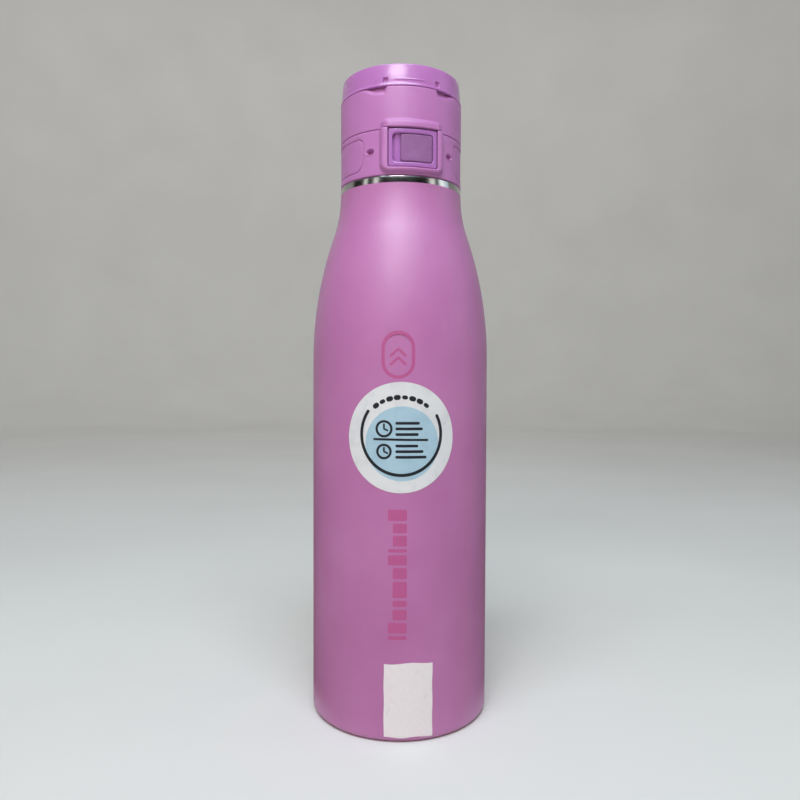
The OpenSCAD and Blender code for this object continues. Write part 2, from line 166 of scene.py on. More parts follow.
def make_strips():
    """Narrow lamps in front of the dark screen, for the bright blocks in the bare steel."""
    white, blue = (1.0, 0.985, 0.96), (0.6, 0.8, 1.0)
    band = Vector((0, 0, COAT_TOP * MM))
    strips = ((-69, 8, 0.28, white), (-47, 10, 0.36, white), (61, 12, 0.40, white), (84, 12, 0.36, white),
              (97, 8, 0.18, blue))
    for turn, spread, power, colour in strips:
        a = math.radians(turn) - CAMERA_AZIMUTH
        place = band + Vector((STRIP_R * math.sin(a), -STRIP_R * math.cos(a), 0.42))
        width = STRIP_R * math.radians(spread)
        area_light(f"strip_{turn}", place, band, width, 0.4, power, colour, "RECTANGLE")


def make_screen(name, reach, profile, colour):
    """A screen that only reflections see: (r, z) points in metres, turned reach degrees both ways."""
    points, faces = [], []
    for i, turn in enumerate(range(-reach, reach + 1, 10)):
        a = math.radians(turn) - CAMERA_AZIMUTH
        points += [(r * math.sin(a), -r * math.cos(a), z) for r, z in profile]
        faces += [[2 * i, 2 * i + 1, 2 * i + 3, 2 * i + 2]]
    mesh = bpy.data.meshes.new(name)
    mesh.from_pydata(points, [], faces[:-1])
    mesh.materials.append(screen_cloth(name, colour))
    screen = bpy.data.objects.new(name, mesh)
    screen.visible_camera = screen.visible_diffuse = screen.visible_shadow = False
    bpy.context.scene.collection.objects.link(screen)


# ---- Node helpers ----------------------------------------------------------------------------


class Shader:
    """A Principled material with short calls for its procedural inputs."""

    def __init__(self, name, colour, roughness, **constants):
        self.material = bpy.data.materials.new(name)
        self.material.use_nodes = True
        self.tree = self.material.node_tree
        self.main = self.tree.nodes["Principled BSDF"]
        self.main.inputs["Base Color"].default_value = (*colour, 1)
        self.main.inputs["Roughness"].default_value = roughness
        for key, value in constants.items():
            self.main.inputs[key.replace("_", " ")].default_value = value
        self.where = self.tree.nodes.new("ShaderNodeTexCoord").outputs["Object"]

    def add(self, kind, **settings):
        """A new node of this kind, with its properties set."""
        node = self.tree.nodes.new("ShaderNode" + kind)
        for key, value in settings.items():
            setattr(node, key, value)
        return node

    def link(self, output, target):
        self.tree.links.new(output, target)

    def stretched(self, scale):
        """Object coordinates scaled along each axis."""
        mapping = self.add("Mapping")
        mapping.inputs["Scale"].default_value = scale
        self.link(self.where, mapping.inputs["Vector"])
        return mapping.outputs["Vector"]

    def noise(self, size_mm, detail=3, stretch=(1, 1, 1), roughness=0.5):
        """Noise whose features are about size_mm across."""
        node = self.add("TexNoise")
        node.inputs["Scale"].default_value = 1 / (size_mm * MM)
        node.inputs["Detail"].default_value = detail
        node.inputs["Roughness"].default_value = roughness
        self.link(self.stretched(stretch), node.inputs["Vector"])
        return node.outputs["Fac"]

    def ramp(self, value, stops):
        """A colour ramp; stops are (position, (r, g, b))."""
        node = self.add("ValToRGB")
        ends = node.color_ramp.elements
        while len(ends) < len(stops):
            ends.new(0.5)
        for element, (position, colour) in zip(ends, stops):
            element.position = position
            element.color = (*colour, 1)
        self.link(value, node.inputs["Fac"])
        return node.outputs["Color"]

    def spread(self, value, start, end, to_start, to_end):
        """Maps a value from one range to another, with level ends."""
        node = self.add("MapRange", interpolation_type="SMOOTHSTEP")
        keys = ("From Min", "From Max", "To Min", "To Max")
        for key, number in zip(keys, (start, end, to_start, to_end)):
            node.inputs[key].default_value = number
        self.link(value, node.inputs["Value"])
        return node.outputs["Result"]

    def mix(self, factor, a, b):
        """Mixes two colours, each a socket or an (r, g, b)."""
        node = self.add("Mix", data_type="RGBA")
        self.put(factor, node.inputs[0])
        self.put(a, node.inputs[6])
        self.put(b, node.inputs[7])
        return node.outputs[2]

    def put(self, value, socket):
        """Links a socket, or sets a number or colour."""
        if isinstance(value, bpy.types.NodeSocket):
            self.link(value, socket)
        elif isinstance(value, tuple):
            socket.default_value = (*value, 1)
        else:
            socket.default_value = value

    def colour(self, socket):
        self.link(socket, self.main.inputs["Base Color"])

    def shades(self, value, dark, light):
        """A base colour that wanders between two shades."""
        self.colour(self.ramp(value, [(0.3, dark), (0.7, light)]))

    def roughness(self, value, low_value, high_value):
        self.link(self.spread(value, 0.3, 0.7, low_value, high_value), self.main.inputs["Roughness"])

    def bump(self, *layers):
        """Stacks bump layers, each (height socket, depth in mm)."""
        normal = None
        for height, depth_mm in layers:
            node = self.add("Bump")
            node.inputs["Strength"].default_value = 1
            node.inputs["Distance"].default_value = depth_mm * MM
            self.link(height, node.inputs["Height"])
            if normal:
                self.link(normal, node.inputs["Normal"])
            normal = node.outputs["Normal"]
        self.link(normal, self.main.inputs["Normal"])


# ---- Materials -------------------------------------------------------------------------------

PINK = (0.468, 0.157, 0.382)
PINK_LIGHT = (0.500, 0.180, 0.414)
PINK_DARK = (0.432, 0.135, 0.346)
LID_PINK = (0.500, 0.190, 0.462)
LID_DARK = (0.466, 0.172, 0.430)
PRINT_PINK = (0.460, 0.090, 0.262)
INK = (0.012, 0.016, 0.024)


def powder_coat():
    """Satin lilac powder coat: a fine orange peel, faint cloudiness and a few scuffs."""
    s = Shader("powder_coat", PINK, 0.45, Coat_Weight=0.65, Coat_Roughness=0.45)
    cloud = s.noise(38, detail=4)
    tint = s.ramp(cloud, [(0.30, PINK_DARK), (0.52, PINK), (0.75, PINK_LIGHT)])
    scuff = s.spread(s.noise(9, detail=6, stretch=(1.0, 1.0, 3.5)), 0.70, 0.78, 0, 0.35)
    s.colour(s.mix(scuff, tint, PINK_DARK))
    s.roughness(s.noise(12, detail=5), 0.40, 0.50)
    s.bump((s.noise(0.45, detail=2), 0.012), (s.noise(2.2, detail=2), 0.02))
    return s.material


def lid_plastic():
    """Fine matte moulding in the coat's colour, with a soft sheen on its edges."""
    s = Shader("lid_plastic", LID_PINK, 0.44, Coat_Weight=0.15, Coat_Roughness=0.35)
    s.shades(s.noise(14, detail=4), LID_DARK, LID_PINK)
    s.roughness(s.noise(3, detail=5), 0.40, 0.50)
    s.bump((s.noise(0.22, detail=2), 0.008), (s.noise(5, detail=3), 0.015))
    return s.material


def liner_plastic():
    """Plain inner moulding, lighter than the outside, with faint turning marks."""
    s = Shader("liner_plastic", (0.62, 0.42, 0.60), 0.38, Subsurface_Weight=0.08,
               Subsurface_Radius=(0.002, 0.001, 0.0015))
    s.shades(s.noise(9, detail=3), (0.58, 0.38, 0.56), (0.66, 0.46, 0.64))
    s.roughness(s.noise(2, detail=4), 0.32, 0.44)
    s.bump((s.noise(0.3, stretch=(1, 1, 6)), 0.006))
    return s.material


def gloss_handle():
    """Glossy, faintly pearly and translucent moulding of the handle ring."""
    s = Shader("gloss_handle", LID_PINK, 0.28, Coat_Weight=0.5, Coat_Roughness=0.20,
               Subsurface_Weight=0.15, Subsurface_Radius=(0.003, 0.0012, 0.0026))
    flow = s.noise(9, detail=2, stretch=(1, 1, 3))
    s.colour(s.ramp(flow, [(0.2, (0.45, 0.160, 0.45)), (0.8, (0.50, 0.185, 0.50))]))
    s.roughness(s.noise(9, detail=0), 0.27, 0.30)
    s.bump((s.noise(5, detail=0, stretch=(1, 1, 0.3)), 0.004), (s.noise(0.3, detail=1), 0.001))
    return s.material


def button_plastic():
    """Glossy violet moulding of the release button."""
    s = Shader("button_plastic", (0.37, 0.13, 0.42), 0.22, Coat_Weight=0.35, Coat_Roughness=0.12)
    s.shades(s.noise(6, detail=2), (0.38, 0.145, 0.43), (0.42, 0.165, 0.47))
    s.roughness(s.noise(4, detail=2), 0.22, 0.28)
    s.bump((s.noise(3.0, detail=1), 0.008), (s.noise(0.3, detail=1), 0.001))
    return s.material


def slider_plastic():
    """Matte mauve face of the lock slider, a little rubbed."""
    s = Shader("slider_plastic", (0.26, 0.11, 0.27), 0.5, Specular_IOR_Level=0.3)
    s.shades(s.noise(3.5, detail=5), (0.255, 0.105, 0.262), (0.292, 0.127, 0.300))
    s.roughness(s.noise(1.2, detail=5), 0.42, 0.56)
    s.bump((s.noise(0.16, detail=2), 0.010), (s.noise(1.5, detail=3), 0.006))
    return s.material


def bare_steel():
    """Turned stainless steel: fine rings round the axis and small changes of gloss."""
    s = Shader("bare_steel", (0.60, 0.60, 0.58), 0.2, Metallic=1.0, Anisotropic=0.35)
    s.shades(s.noise(6, detail=4), (0.54, 0.54, 0.53), (0.66, 0.66, 0.64))
    s.roughness(s.noise(0.5, stretch=(0.15, 0.15, 6), detail=4), 0.10, 0.20)
    s.bump((s.noise(0.25, stretch=(0.08, 0.08, 5)), 0.004))
    return s.material


def inner_steel():
    """Electropolished inner wall."""
    s = Shader("inner_steel", (0.55, 0.55, 0.55), 0.28, Metallic=1.0)
    s.shades(s.noise(18, detail=4), (0.50, 0.50, 0.50), (0.60, 0.60, 0.59))
    s.roughness(s.noise(2, stretch=(1, 1, 8), detail=5), 0.2, 0.36)
    s.bump((s.noise(0.6, stretch=(0.2, 0.2, 6)), 0.006))
    return s.material


def copper_foil():
    """Thin wrinkled foil round the flask."""
    s = Shader("copper_foil", (0.75, 0.42, 0.28), 0.3, Metallic=1.0)
    s.shades(s.noise(8, detail=4), (0.68, 0.36, 0.23), (0.80, 0.50, 0.36))
    s.roughness(s.noise(2.5, detail=6), 0.2, 0.45)
    s.bump((s.noise(3, detail=6, roughness=0.7), 0.25))
    return s.material


def dull_metal():
    """Sintered pill and sealing bead."""
    s = Shader("dull_metal", (0.22, 0.22, 0.23), 0.6, Metallic=0.7)
    s.shades(s.noise(0.6, detail=4), (0.16, 0.16, 0.17), (0.28, 0.28, 0.29))
    s.roughness(s.noise(0.8, detail=4), 0.5, 0.75)
    s.bump((s.noise(0.25, detail=3), 0.03))
    return s.material


def spring_wire():
    """Drawn wire with fine lengthwise marks."""
    s = Shader("spring_wire", (0.45, 0.45, 0.47), 0.25, Metallic=1.0)
    s.shades(s.noise(1, detail=3), (0.38, 0.38, 0.40), (0.52, 0.52, 0.54))
    s.roughness(s.noise(0.4, detail=4), 0.18, 0.34)
    s.bump((s.noise(0.12, stretch=(6, 1, 1)), 0.004))
    return s.material


def silicone():
    """Translucent white seal material."""
    s = Shader("silicone", (0.74, 0.72, 0.74), 0.48, Subsurface_Weight=0.3,
               Subsurface_Radius=(0.003, 0.0025, 0.0025))
    s.shades(s.noise(5, detail=3), (0.70, 0.68, 0.70), (0.78, 0.76, 0.78))
    s.roughness(s.noise(1.5, detail=4), 0.42, 0.56)
    s.bump((s.noise(0.3, detail=2), 0.006))
    return s.material


def label_stock(name, colour, shade):
    """Printed vinyl: nearly flat colour with light soiling and a faint tooth."""
    s = Shader(name, colour, 0.5, Coat_Weight=0.1, Coat_Roughness=0.35)
    soil = s.spread(s.noise(6, detail=8, roughness=0.65), 0.42, 0.68, 0, 1)
    s.colour(s.mix(soil, colour, shade))
    s.roughness(s.noise(2.5, detail=4), 0.42, 0.56)
    s.bump((s.noise(0.5, detail=4), 0.010), (s.noise(4, detail=3), 0.03))
    return s.material


def print_ink(name, colour):
    """Screen-printed ink with slightly uneven cover."""
    s = Shader(name, colour, 0.45)
    thin = tuple(min(1, c * 1.08 + 0.004) for c in colour)
    s.colour(s.mix(s.spread(s.noise(0.8, detail=5), 0.5, 0.75, 0, 1), colour, thin))
    s.roughness(s.noise(1.5, detail=4), 0.38, 0.52)
    s.bump((s.noise(0.3, detail=3), 0.006))
    return s.material


def white_paper():
    """Paper label: slight fibres, a few grey smears and an uneven surface."""
    s = Shader("white_paper", (0.78, 0.73, 0.74), 0.62)
    dark, light = (0.75, 0.70, 0.71), (0.79, 0.74, 0.75)
    fibre = s.ramp(s.noise(1.2, detail=8, roughness=0.7), [(0.35, dark), (0.65, light)])
    smear = s.spread(s.noise(5, detail=4, stretch=(1.5, 1, 0.6)), 0.62, 0.75, 0, 0.5)
    s.colour(s.mix(smear, fibre, (0.56, 0.54, 0.55)))
    s.roughness(s.noise(1.0, detail=4), 0.55, 0.72)
    s.bump((s.noise(0.25, detail=5), 0.012), (s.noise(5, detail=3), 0.08))
    return s.material


def screen_cloth(name, colour):
    """Matt cloth of the screens that shape the reflections."""
    s = Shader(name, colour, 0.9, Specular_IOR_Level=0.1)
    s.shades(s.noise(60), tuple(0.9 * c for c in colour), colour)
    return s.material


def floor_paint():
    """Matt, slightly warm paint of the stage."""
    s = Shader("floor_paint", (0.76, 0.735, 0.70), 0.75)
    s.shades(s.noise(220, detail=4), (0.74, 0.715, 0.68), (0.78, 0.755, 0.72))
    s.bump((s.noise(4, detail=4), 0.03))
    return s.material


# ---- Mesh helpers ----------------------------------------------------------------------------


def build(name, points, faces, material, body, slot, stands_for=(), sharp=40):
    """A piece from points in millimetres: welded, facing outwards, shaded smooth below the sharp angle."""
    mesh = bpy.data.meshes.new(name)
    mesh.from_pydata((np.asarray(points, float) * MM).tolist(), [], [list(map(int, f)) for f in faces])
    work = bmesh.new()
    work.from_mesh(mesh)
    bmesh.ops.remove_doubles(work, verts=work.verts, dist=1e-7)
    return finished(name, mesh, work, material, body, stands_for, sharp)


def finished(name, mesh, work, material, body, stands_for, sharp):
    """Writes a bmesh to the mesh and makes it a piece that rides on its body; the stage has no body."""
    bmesh.ops.recalc_face_normals(work, faces=work.faces)
    work.to_mesh(mesh)
    work.free()
    mesh.shade_smooth()
    mesh.set_sharp_from_angle(angle=math.radians(sharp))
    mesh.materials.append(material)
    piece = bpy.data.objects.new(name, mesh)
    bpy.context.scene.collection.objects.link(piece)
    if body is None:
        return piece
    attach(piece, body)
    if stands_for:
        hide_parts(*stands_for)
    return piece


def loop_grid(rows, closed_rows=False):
    """Points and quads of rows of points, each a closed ring; closed_rows joins the last to the first."""
    rows = np.asarray(rows, float)
    count, around = rows.shape[:2]
    last = count if closed_rows else count - 1
    i, j = np.meshgrid(np.arange(last), np.arange(around), indexing="ij")
    k, m = (i + 1) % count, (j + 1) % around
    quads = np.stack([i * around + j, i * around + m, k * around + m, k * around + j], -1)
    return rows.reshape(-1, 3), quads.reshape(-1, 4).tolist()


def sheet_quads(count, across):
    """Quads of an open grid of count by across points."""
    i, j = np.meshgrid(np.arange(count - 1), np.arange(across - 1), indexing="ij")
    a = i * across + j
    return np.stack([a, a + 1, a + across + 1, a + across], -1).reshape(-1, 4).tolist()


def swept(name, rows, material, body, slot, stands_for, sharp=40):
    """A piece from rings of points, one row after another, with both ends filled."""
    points, quads = loop_grid(rows)
    around = len(rows[0])
    last = len(points) - around
    ends = [list(range(around)), [last + j for j in range(around)]]
    return build(name, points, quads + ends, material, body, slot, stands_for, sharp)


def arc(cx, cz, r, start, end, steps):
    """Points of an arc in a flat drawing, angles in degrees from its first axis."""
    return [(cx + r * math.cos(math.radians(a)), cz + r * math.sin(math.radians(a)))
            for a in np.linspace(start, end, steps + 1)]


def rings(profile, segments, centre=(0, 0)):
    """Level rings of points, one for each (r, z) of a profile, round the upright line at centre."""
    angles = np.linspace(0, 2 * math.pi, segments, endpoint=False)
    return [np.stack([centre[0] + r * np.cos(angles), centre[1] + r * np.sin(angles),
                      np.full(segments, z)], -1) for r, z in profile]


def lathe(name, profile, material, body, slot, stands_for, segments, centre=(0, 0)):
    """A closed profile of (r, z) points turned about the upright line at centre."""
    grid = loop_grid(rings(profile, segments, centre), closed_rows=True)
    return build(name, *grid, material, body, slot, stands_for)


def smooth(t):
    """0 to 1 with level ends."""
    t = np.clip(t, 0, 1)
    return t * t * (3 - 2 * t)


def between(t, start, rise, end, fall):
    """1 between start and end, with soft sides: up from start over rise, down from end over fall."""
    return smooth((t - start) / rise) * (1 - smooth((t - end) / fall))


def round_in(d, w):
    """How far a rounded edge of width w still falls short at distance d inside the edge, from w to 0."""
    t = np.clip(d / w, 0, 1)
    return w * (1 - np.sqrt(np.clip(1 - (1 - t) ** 2, 0, 1)))


def box_distance(u, v, half_u, low_v, high_v, corner_low, corner_high):
    """Distance inside a rounded box, positive inside. Its lower and upper corners may differ."""
    middle = (low_v + high_v) / 2
    corner = np.where(v < middle, corner_low, corner_high)
    du = np.abs(u) - half_u + corner
    dv = np.abs(v - middle) - (high_v - low_v) / 2 + corner
    outside = np.hypot(np.maximum(du, 0), np.maximum(dv, 0))
    return corner - outside - np.minimum(np.maximum(du, dv), 0)


def places(start, end, coarse, marks):
    """Sorted values from start to end, coarse apart, and closer near the marks (value, reach, step)."""
    values = list(np.linspace(start, end, max(2, round((end - start) / coarse) + 1)))
    for mark, reach, step in marks:
        near = np.arange(mark - reach, mark + reach + step / 2, step)
        values += [v for v in near if start < v < end]
    values = np.sort(np.array(values))
    keep = [values[0]]
    closest = min([coarse] + [m[2] for m in marks]) * 0.55
    for v in values[1:-1]:
        if v - keep[-1] > closest:
            keep.append(v)
    if values[-1] - keep[-1] < closest:
        keep.pop()
    return np.array(keep + [values[-1]])


# The front of the lid is drawn straight out along -Y; further round, columns turn to run radially.
FRONT_A, SIDE_A = 31, 46
BOW_R = 34


def spokes(phi):
    """Unit outward direction of each column of the lid, from its angle in degrees."""
    turn = smooth((np.abs(phi) - FRONT_A) / (SIDE_A - FRONT_A)) * phi
    a = np.radians(turn)
    return np.stack([np.sin(a), -np.cos(a), 0 * a], -1)


def on_ring(r, phi, z):
    """Points at radius r and angle phi (degrees)."""
    a = np.radians(phi)
    return np.stack([r * np.sin(a), -r * np.cos(a), z + 0 * a], -1)


def bow(x):
    """How far a bowed front falls back at x."""
    return BOW_R - np.sqrt(BOW_R**2 - np.minimum(np.abs(x), 20) ** 2)


def edge_angle(x):
    """Angle at which a column of the front stands at x."""
    return math.degrees(math.asin(x / NECK_R))


# ---- Bottle ----------------------------------------------------------------------------------

SHOULDER_R, NECK_FILLET_R = 156, 51.7
SHELL_WALL = 0.7


def shoulder_profile(r0, z0, r1, convex_r, concave_r, steps):
    """Points up a shoulder of two tangent arcs, upright at both ends."""
    a = math.acos(1 - (r0 - r1) / (convex_r + concave_r))
    lower = [(r0 - convex_r * (1 - math.cos(t)), z0 + convex_r * math.sin(t))
             for t in np.linspace(0, a, steps)]
    rm, zm = lower[-1]
    upper = [(rm - concave_r * (math.cos(t) - math.cos(a)), zm + concave_r * (math.sin(a) - math.sin(t)))
             for t in np.linspace(a, 0, steps)]
    return lower + upper[1:]


def make_shell(coat):
    """The coated outer wall: a rounded foot, the straight body and the long shoulder."""
    edge = BODY_R - BASE_R
    a = math.acos(1 - (BODY_R - NECK_R) / (SHOULDER_R + NECK_FILLET_R))
    shoulder_z = COAT_TOP - (SHOULDER_R + NECK_FILLET_R) * math.sin(a)
    outside = arc(BODY_R - edge, edge, edge, -90, 0, 14)
    outside += [(BODY_R, z) for z in np.linspace(edge, shoulder_z, 24)[1:-1]]
    outside += shoulder_profile(BODY_R, shoulder_z, NECK_R, SHOULDER_R, NECK_FILLET_R, 40)
    inner_r = BODY_R - SHELL_WALL
    inside = arc(inner_r - edge + SHELL_WALL, edge, edge - SHELL_WALL, -90, 0, 6)
    inside += shoulder_profile(inner_r, shoulder_z, NECK_R - SHELL_WALL, SHOULDER_R, NECK_FILLET_R, 16)
    lathe("coated_shell", outside + inside[::-1], coat, "bottle", "powder_coat", ["outer_shell"], 256)


def make_base(coat):
    """The pressed cap under the bottle."""
    rim = low("shell_base", Z)
    recess = high("shell_base", Z) - 0.8
    foot = BASE_R - 4.4
    cap = [(0.01, recess), (foot - 3.6, recess)] + arc(foot - 3.6, recess - 1.2, 1.2, 90, 30, 6)
    cap += arc(foot + 0.9, rim + 1.0, 1.0, 215, 270, 6) + [(BASE_R, rim), (BASE_R, rim + 0.8)]
    cap += [(foot + 1, rim + 0.8), (foot - 2, recess + 0.8), (0.01, recess + 0.8)]
    lathe("base_cap", cap, coat, "bottle", "powder_coat", ["shell_base"], 160)


def make_neck(steel):
    """The bare steel band and the threaded tube above it, up to the mouth."""
    wall, band_edge, mouth_r = 0.8, 0.45, mouth_radius()
    tube_r = mouth_r + wall
    band_top = COAT_TOP + 2.7
    ring = [(mouth_r, COAT_TOP), (tube_r, COAT_TOP), (tube_r, band_top - wall)]
    ring += [(NECK_R - SHELL_WALL, band_top - wall), (NECK_R - SHELL_WALL, COAT_TOP), (NECK_R, COAT_TOP)]
    ring += arc(NECK_R - band_edge, band_top - band_edge, band_edge, 0, 90, 6)
    ring += arc(tube_r + 0.6, band_top + 0.6, 0.6, 270, 180, 6)
    ring += arc(tube_r - 0.4, MOUTH_Z - 0.4, 0.4, 0, 180, 10)
    lathe("steel_neck", ring, steel, "bottle", "bare_steel", ["neck_ring"], 192)
    neck_thread(tube_r, band_top + 3.2, steel)


def mouth_radius():
    """Inside radius of the mouth, from the gasket that overhangs it by 0.6."""
    points = np.array([v.co[:2] for v in nodes["mouth_gasket"].data.vertices])
    return np.hypot(points[:, 0], points[:, 1]).min() / MM + 0.6


def neck_thread(root_r, z0, steel):
    """The rounded thread on the neck, running out smoothly at both ends."""
    lead, turns, rise, half_w = 4.0, 1.6, 1.1, 1.0
    section = [(-half_w, -0.15), (-half_w * 0.8, 0.1)]
    section += [(-half_w * math.cos(math.radians(a)) * 0.62, rise - 0.42 + 0.42 * math.sin(math.radians(a)))
                for a in range(0, 181, 30)]
    section += [(half_w * 0.8, 0.1), (half_w, -0.15)]
    steps = int(turns * 120)
    rows = []
    for t in np.linspace(0, 1, steps + 1):
        grow = float(smooth(min(t, 1 - t) * 14))
        a = 2 * math.pi * turns * t
        row = []
        for dz, dr in section:
            r = root_r + (dr * grow if dr > 0 else dr)
            z = z0 + lead * turns * t + dz * (0.35 + 0.65 * grow)
            row.append((r * math.cos(a), r * math.sin(a), z))
        rows.append(row)
    swept("neck_thread", rows, steel, "bottle", "bare_steel", ["neck_ring"])


# ---- Prints and labels -----------------------------------------------------------------------


def wrap(name, shapes, centre_a, centre_z, bottom, top, material, slot, stands_for=()):
    """Wraps flat shapes, drawn in (s, z) millimetres, round the body as one thin closed skin."""
    points, faces = merged(shapes)
    points = np.asarray(points, float)

    def layer(height):
        phi = centre_a + np.degrees(points[:, 0] / BODY_R)
        return on_ring(BODY_R + height, phi, centre_z + points[:, 1])

    count = len(points)
    edges = dict.fromkeys((a, b) for f in faces for a, b in zip(f, f[1:] + f[:1]))
    lower = [[count + v for v in reversed(f)] for f in faces]
    walls = [[b, a, count + a, count + b] for a, b in edges if (b, a) not in edges]
    solid = np.concatenate([layer(top), layer(bottom)])
    return build(name, solid, faces + lower + walls, material, "bottle", slot, stands_for, sharp=60)


def merged(shapes):
    """Joins (points, faces) shapes into one."""
    points, faces = [], []
    for p, f in shapes:
        faces += [[v + len(points) for v in face] for face in f]
        points += list(p)
    return points, faces


def columns(xs, lower, upper, steps=1):
    """A filled shape between two curves over xs."""
    points = [(x, z) for x in xs for z in np.linspace(lower(x), upper(x), steps + 1)]
    return points, sheet_quads(len(xs), steps + 1)


def disc_shape(r, cx=0.0, cz=0.0):
    """A filled disc."""
    count, steps = 64, 24
    xs = [cx - r * math.cos(math.pi * i / count) for i in range(count + 1)]
    xs[0] += 1e-3
    xs[-1] -= 1e-3

    def half(x):
        return math.sqrt(max(r * r - (x - cx) ** 2, 1e-6))

    return columns(xs, lambda x: cz - half(x), lambda x: cz + half(x), steps)


def round_bar(x0, x1, z0, z1, corner):
    """A filled rectangle with round corners."""
    corner = min(corner, (x1 - x0) / 2 - 1e-3, (z1 - z0) / 2 - 1e-3)
    turn = [corner * (1 - math.cos(math.radians(a))) for a in (0, 20, 40, 60, 75, 90)]
    count = max(2, int((x1 - x0 - 2 * corner) / 0.8) + 2)
    middle = list(np.linspace(x0 + corner, x1 - corner, count))[1:-1]
    xs = [x0 + t for t in turn] + middle + [x1 - t for t in reversed(turn)]

    def cut(x):
        d = max(corner - (x - x0), corner - (x1 - x), 0)
        return corner - math.sqrt(max(corner * corner - d * d, 0))

    return columns(xs, lambda x: z0 + cut(x) - 1e-4, lambda x: z1 - cut(x) + 1e-4)


def divided(path, closed, step=0.7):
    """The path with extra points, so that it follows the round surface."""
    ends = path[1:] + path[:1] if closed else path[1:]
    points = []
    for a, b in zip(path, ends):
        parts = max(1, math.ceil(math.dist(a, b) / step))
        points += [np.array(a) + (np.array(b) - np.array(a)) * i / parts for i in range(parts)]
    return points if closed else points + [np.array(path[-1], float)]


def stroke(path, width, closed=False):
    """A line of even width along a path of (s, z) points, with round ends if it is open."""
    path = divided(path, closed)
    count = len(path)
    left, right = [], []
    for i, p in enumerate(path):
        before = path[i - 1] if i or closed else p
        after = path[(i + 1) % count] if i < count - 1 or closed else p
        along = after - before
        along = along / np.hypot(*along)
        normal = np.array([-along[1], along[0]]) * width / 2
        left.append(p + normal)
        right.append(p - normal)
    steps = [(i, (i + 1) % count) for i in range(count if closed else count - 1)]
    shapes = [(left + right, [[count + i, count + k, k, i] for i, k in steps])]
    if not closed:
        shapes.append(end_cap(path[0], path[0] - path[1], width))
        shapes.append(end_cap(path[-1], path[-1] - path[-2], width))
    return merged(shapes)


def end_cap(centre, outward, width):
    """Half a disc on the end of a stroke."""
    start = math.degrees(math.atan2(outward[1], outward[0])) - 90
    rim = arc(*centre, width / 2, start, start + 180, 9)
    points = [tuple(centre)] + rim
    return points, [[0, i, i + 1] for i in range(1, len(rim))]


def make_prints(ink):
    """Generic prints: a capsule with two chevrons, and a column of plain bars."""
    r, half = 5.7, 2.6
    outline = arc(0, half, r, 0, 180, 24) + arc(0, -half, r, 180, 360, 24)
    shapes = [stroke(outline, 1.25, closed=True)]
    for z in (-2.6, 0.6):
        shapes.append(stroke([(-2.7, z - 0.9), (0, z + 1.6), (2.7, z - 0.9)], 0.95))
    wrap("printed_mark", shapes, -11.6, 146.7, -0.01, 0.03, ink, "powder_coat")

    full, short, gap = 7.1, 5.3, 1.0
    rhythm = [(full, 1.5), (full, 4.0), (short, 4.0), (short, 2.4), (short, 6.2), (short, 4.2),
              (full, 3.8), (full, 1.3), (short, 4.0), (short, 3.6), (full, 4.2)]
    shapes, z = [], 0.0
    for width, length in rhythm:
        shapes.append(round_bar(full / 2 - width, full / 2, z, z + length, 0.6))
        z += length + gap
    wrap("printed_bars", shapes, -11.7, 39.6, -0.01, 0.03, ink, "powder_coat")


def make_round_label(white, blue, black):
    """A white disc, a smaller blue one, and generic line drawings printed over both."""
    angle, z = -9.8, 115.8
    top = 0.09
    base, disc = disc_shape(20.8), disc_shape(14.0, 0.4, -2.3)
    wrap("round_label_base", [base], angle, z, -0.02, top, white, "vinyl_label", ["round_label"])
    wrap("round_label_disc", [disc], angle, z, top - 0.02, top + 0.02, blue, "vinyl_label")
    shapes = [stroke(arc(0.1, 1.2, 15.3, 146, 387, 89), 1.2)]
    shapes.append(stroke([(-10.1, -0.6), (0, -0.75), (9.9, -0.9)], 0.85))
    for i in range(8):
        a = 54 + 10.4 * i
        shapes.append(stroke(arc(0.1, -0.9, 16.0, a - 1.3, a + 1.3, 3), 1.9 if i % 3 else 1.5))
    shapes += label_row(3.3, 3.3, (5.6, 6.4, 5.3))
    shapes += label_row(-5.2, 3.0, (5.2, 6.6, 7.4))
    wrap("round_label_print", shapes, angle, z, top, top + 0.035, black, "vinyl_label")


def label_row(z, r, lengths):
    """A small clock face with three plain lines beside it."""
    shapes = [stroke(arc(-6.4, z, r - 0.5, 0, 360, 39)[:-1], 0.9, closed=True)]
    shapes.append(stroke([(-6.4, z + r - 1.6), (-6.4, z), (-5.1, z - 0.6)], 0.7))
    for i, length in enumerate(lengths):
        bar_x, bar_z = -1.6, z + 2.1 * (1 - i)
        shapes.append(stroke([(bar_x + share * length, bar_z) for share in (0, 0.5, 1.45)], 1.05))
    return shapes


def make_paper_label(paper):
    """The paper label, with slightly uneven edges and a crease across its lower corner."""
    angle, half, bottom, top = -4.9, 9.35, 2.3, 30.5
    slope = 1.15
    x = np.linspace(-half, half, 64)[:, None]
    low_edge = bottom + 0.25 * np.sin(x * 0.55)
    high_edge = top + 0.30 * np.sin(x * 0.38 + 1.2)
    z = low_edge + (high_edge - low_edge) * np.linspace(0, 1, 90)
    crease = np.abs(z - bottom - slope * (half - x)) / math.hypot(1, slope)
    reach = smooth((13.5 - z) / 3) * smooth((x + 1) / 3)
    height = 0.06 + 0.085 * reach * np.exp(-((crease / 0.35) ** 2))
    phi = angle + np.degrees((x + 0.08 * np.sin(z * 0.5)) / BODY_R)
    rounding = BODY_R - BASE_R
    drop = np.maximum(rounding - z, 0)
    wall_r = BODY_R - rounding + np.sqrt(rounding**2 - drop**2)
    front, back = on_ring(wall_r + height, phi, z), on_ring(wall_r - 0.02, phi, z)
    plate("paper_sticker", front, back, paper, "bottle", "paper_label", ["paper_label"], sharp=60)


# ---- Lid collar ------------------------------------------------------------------------------

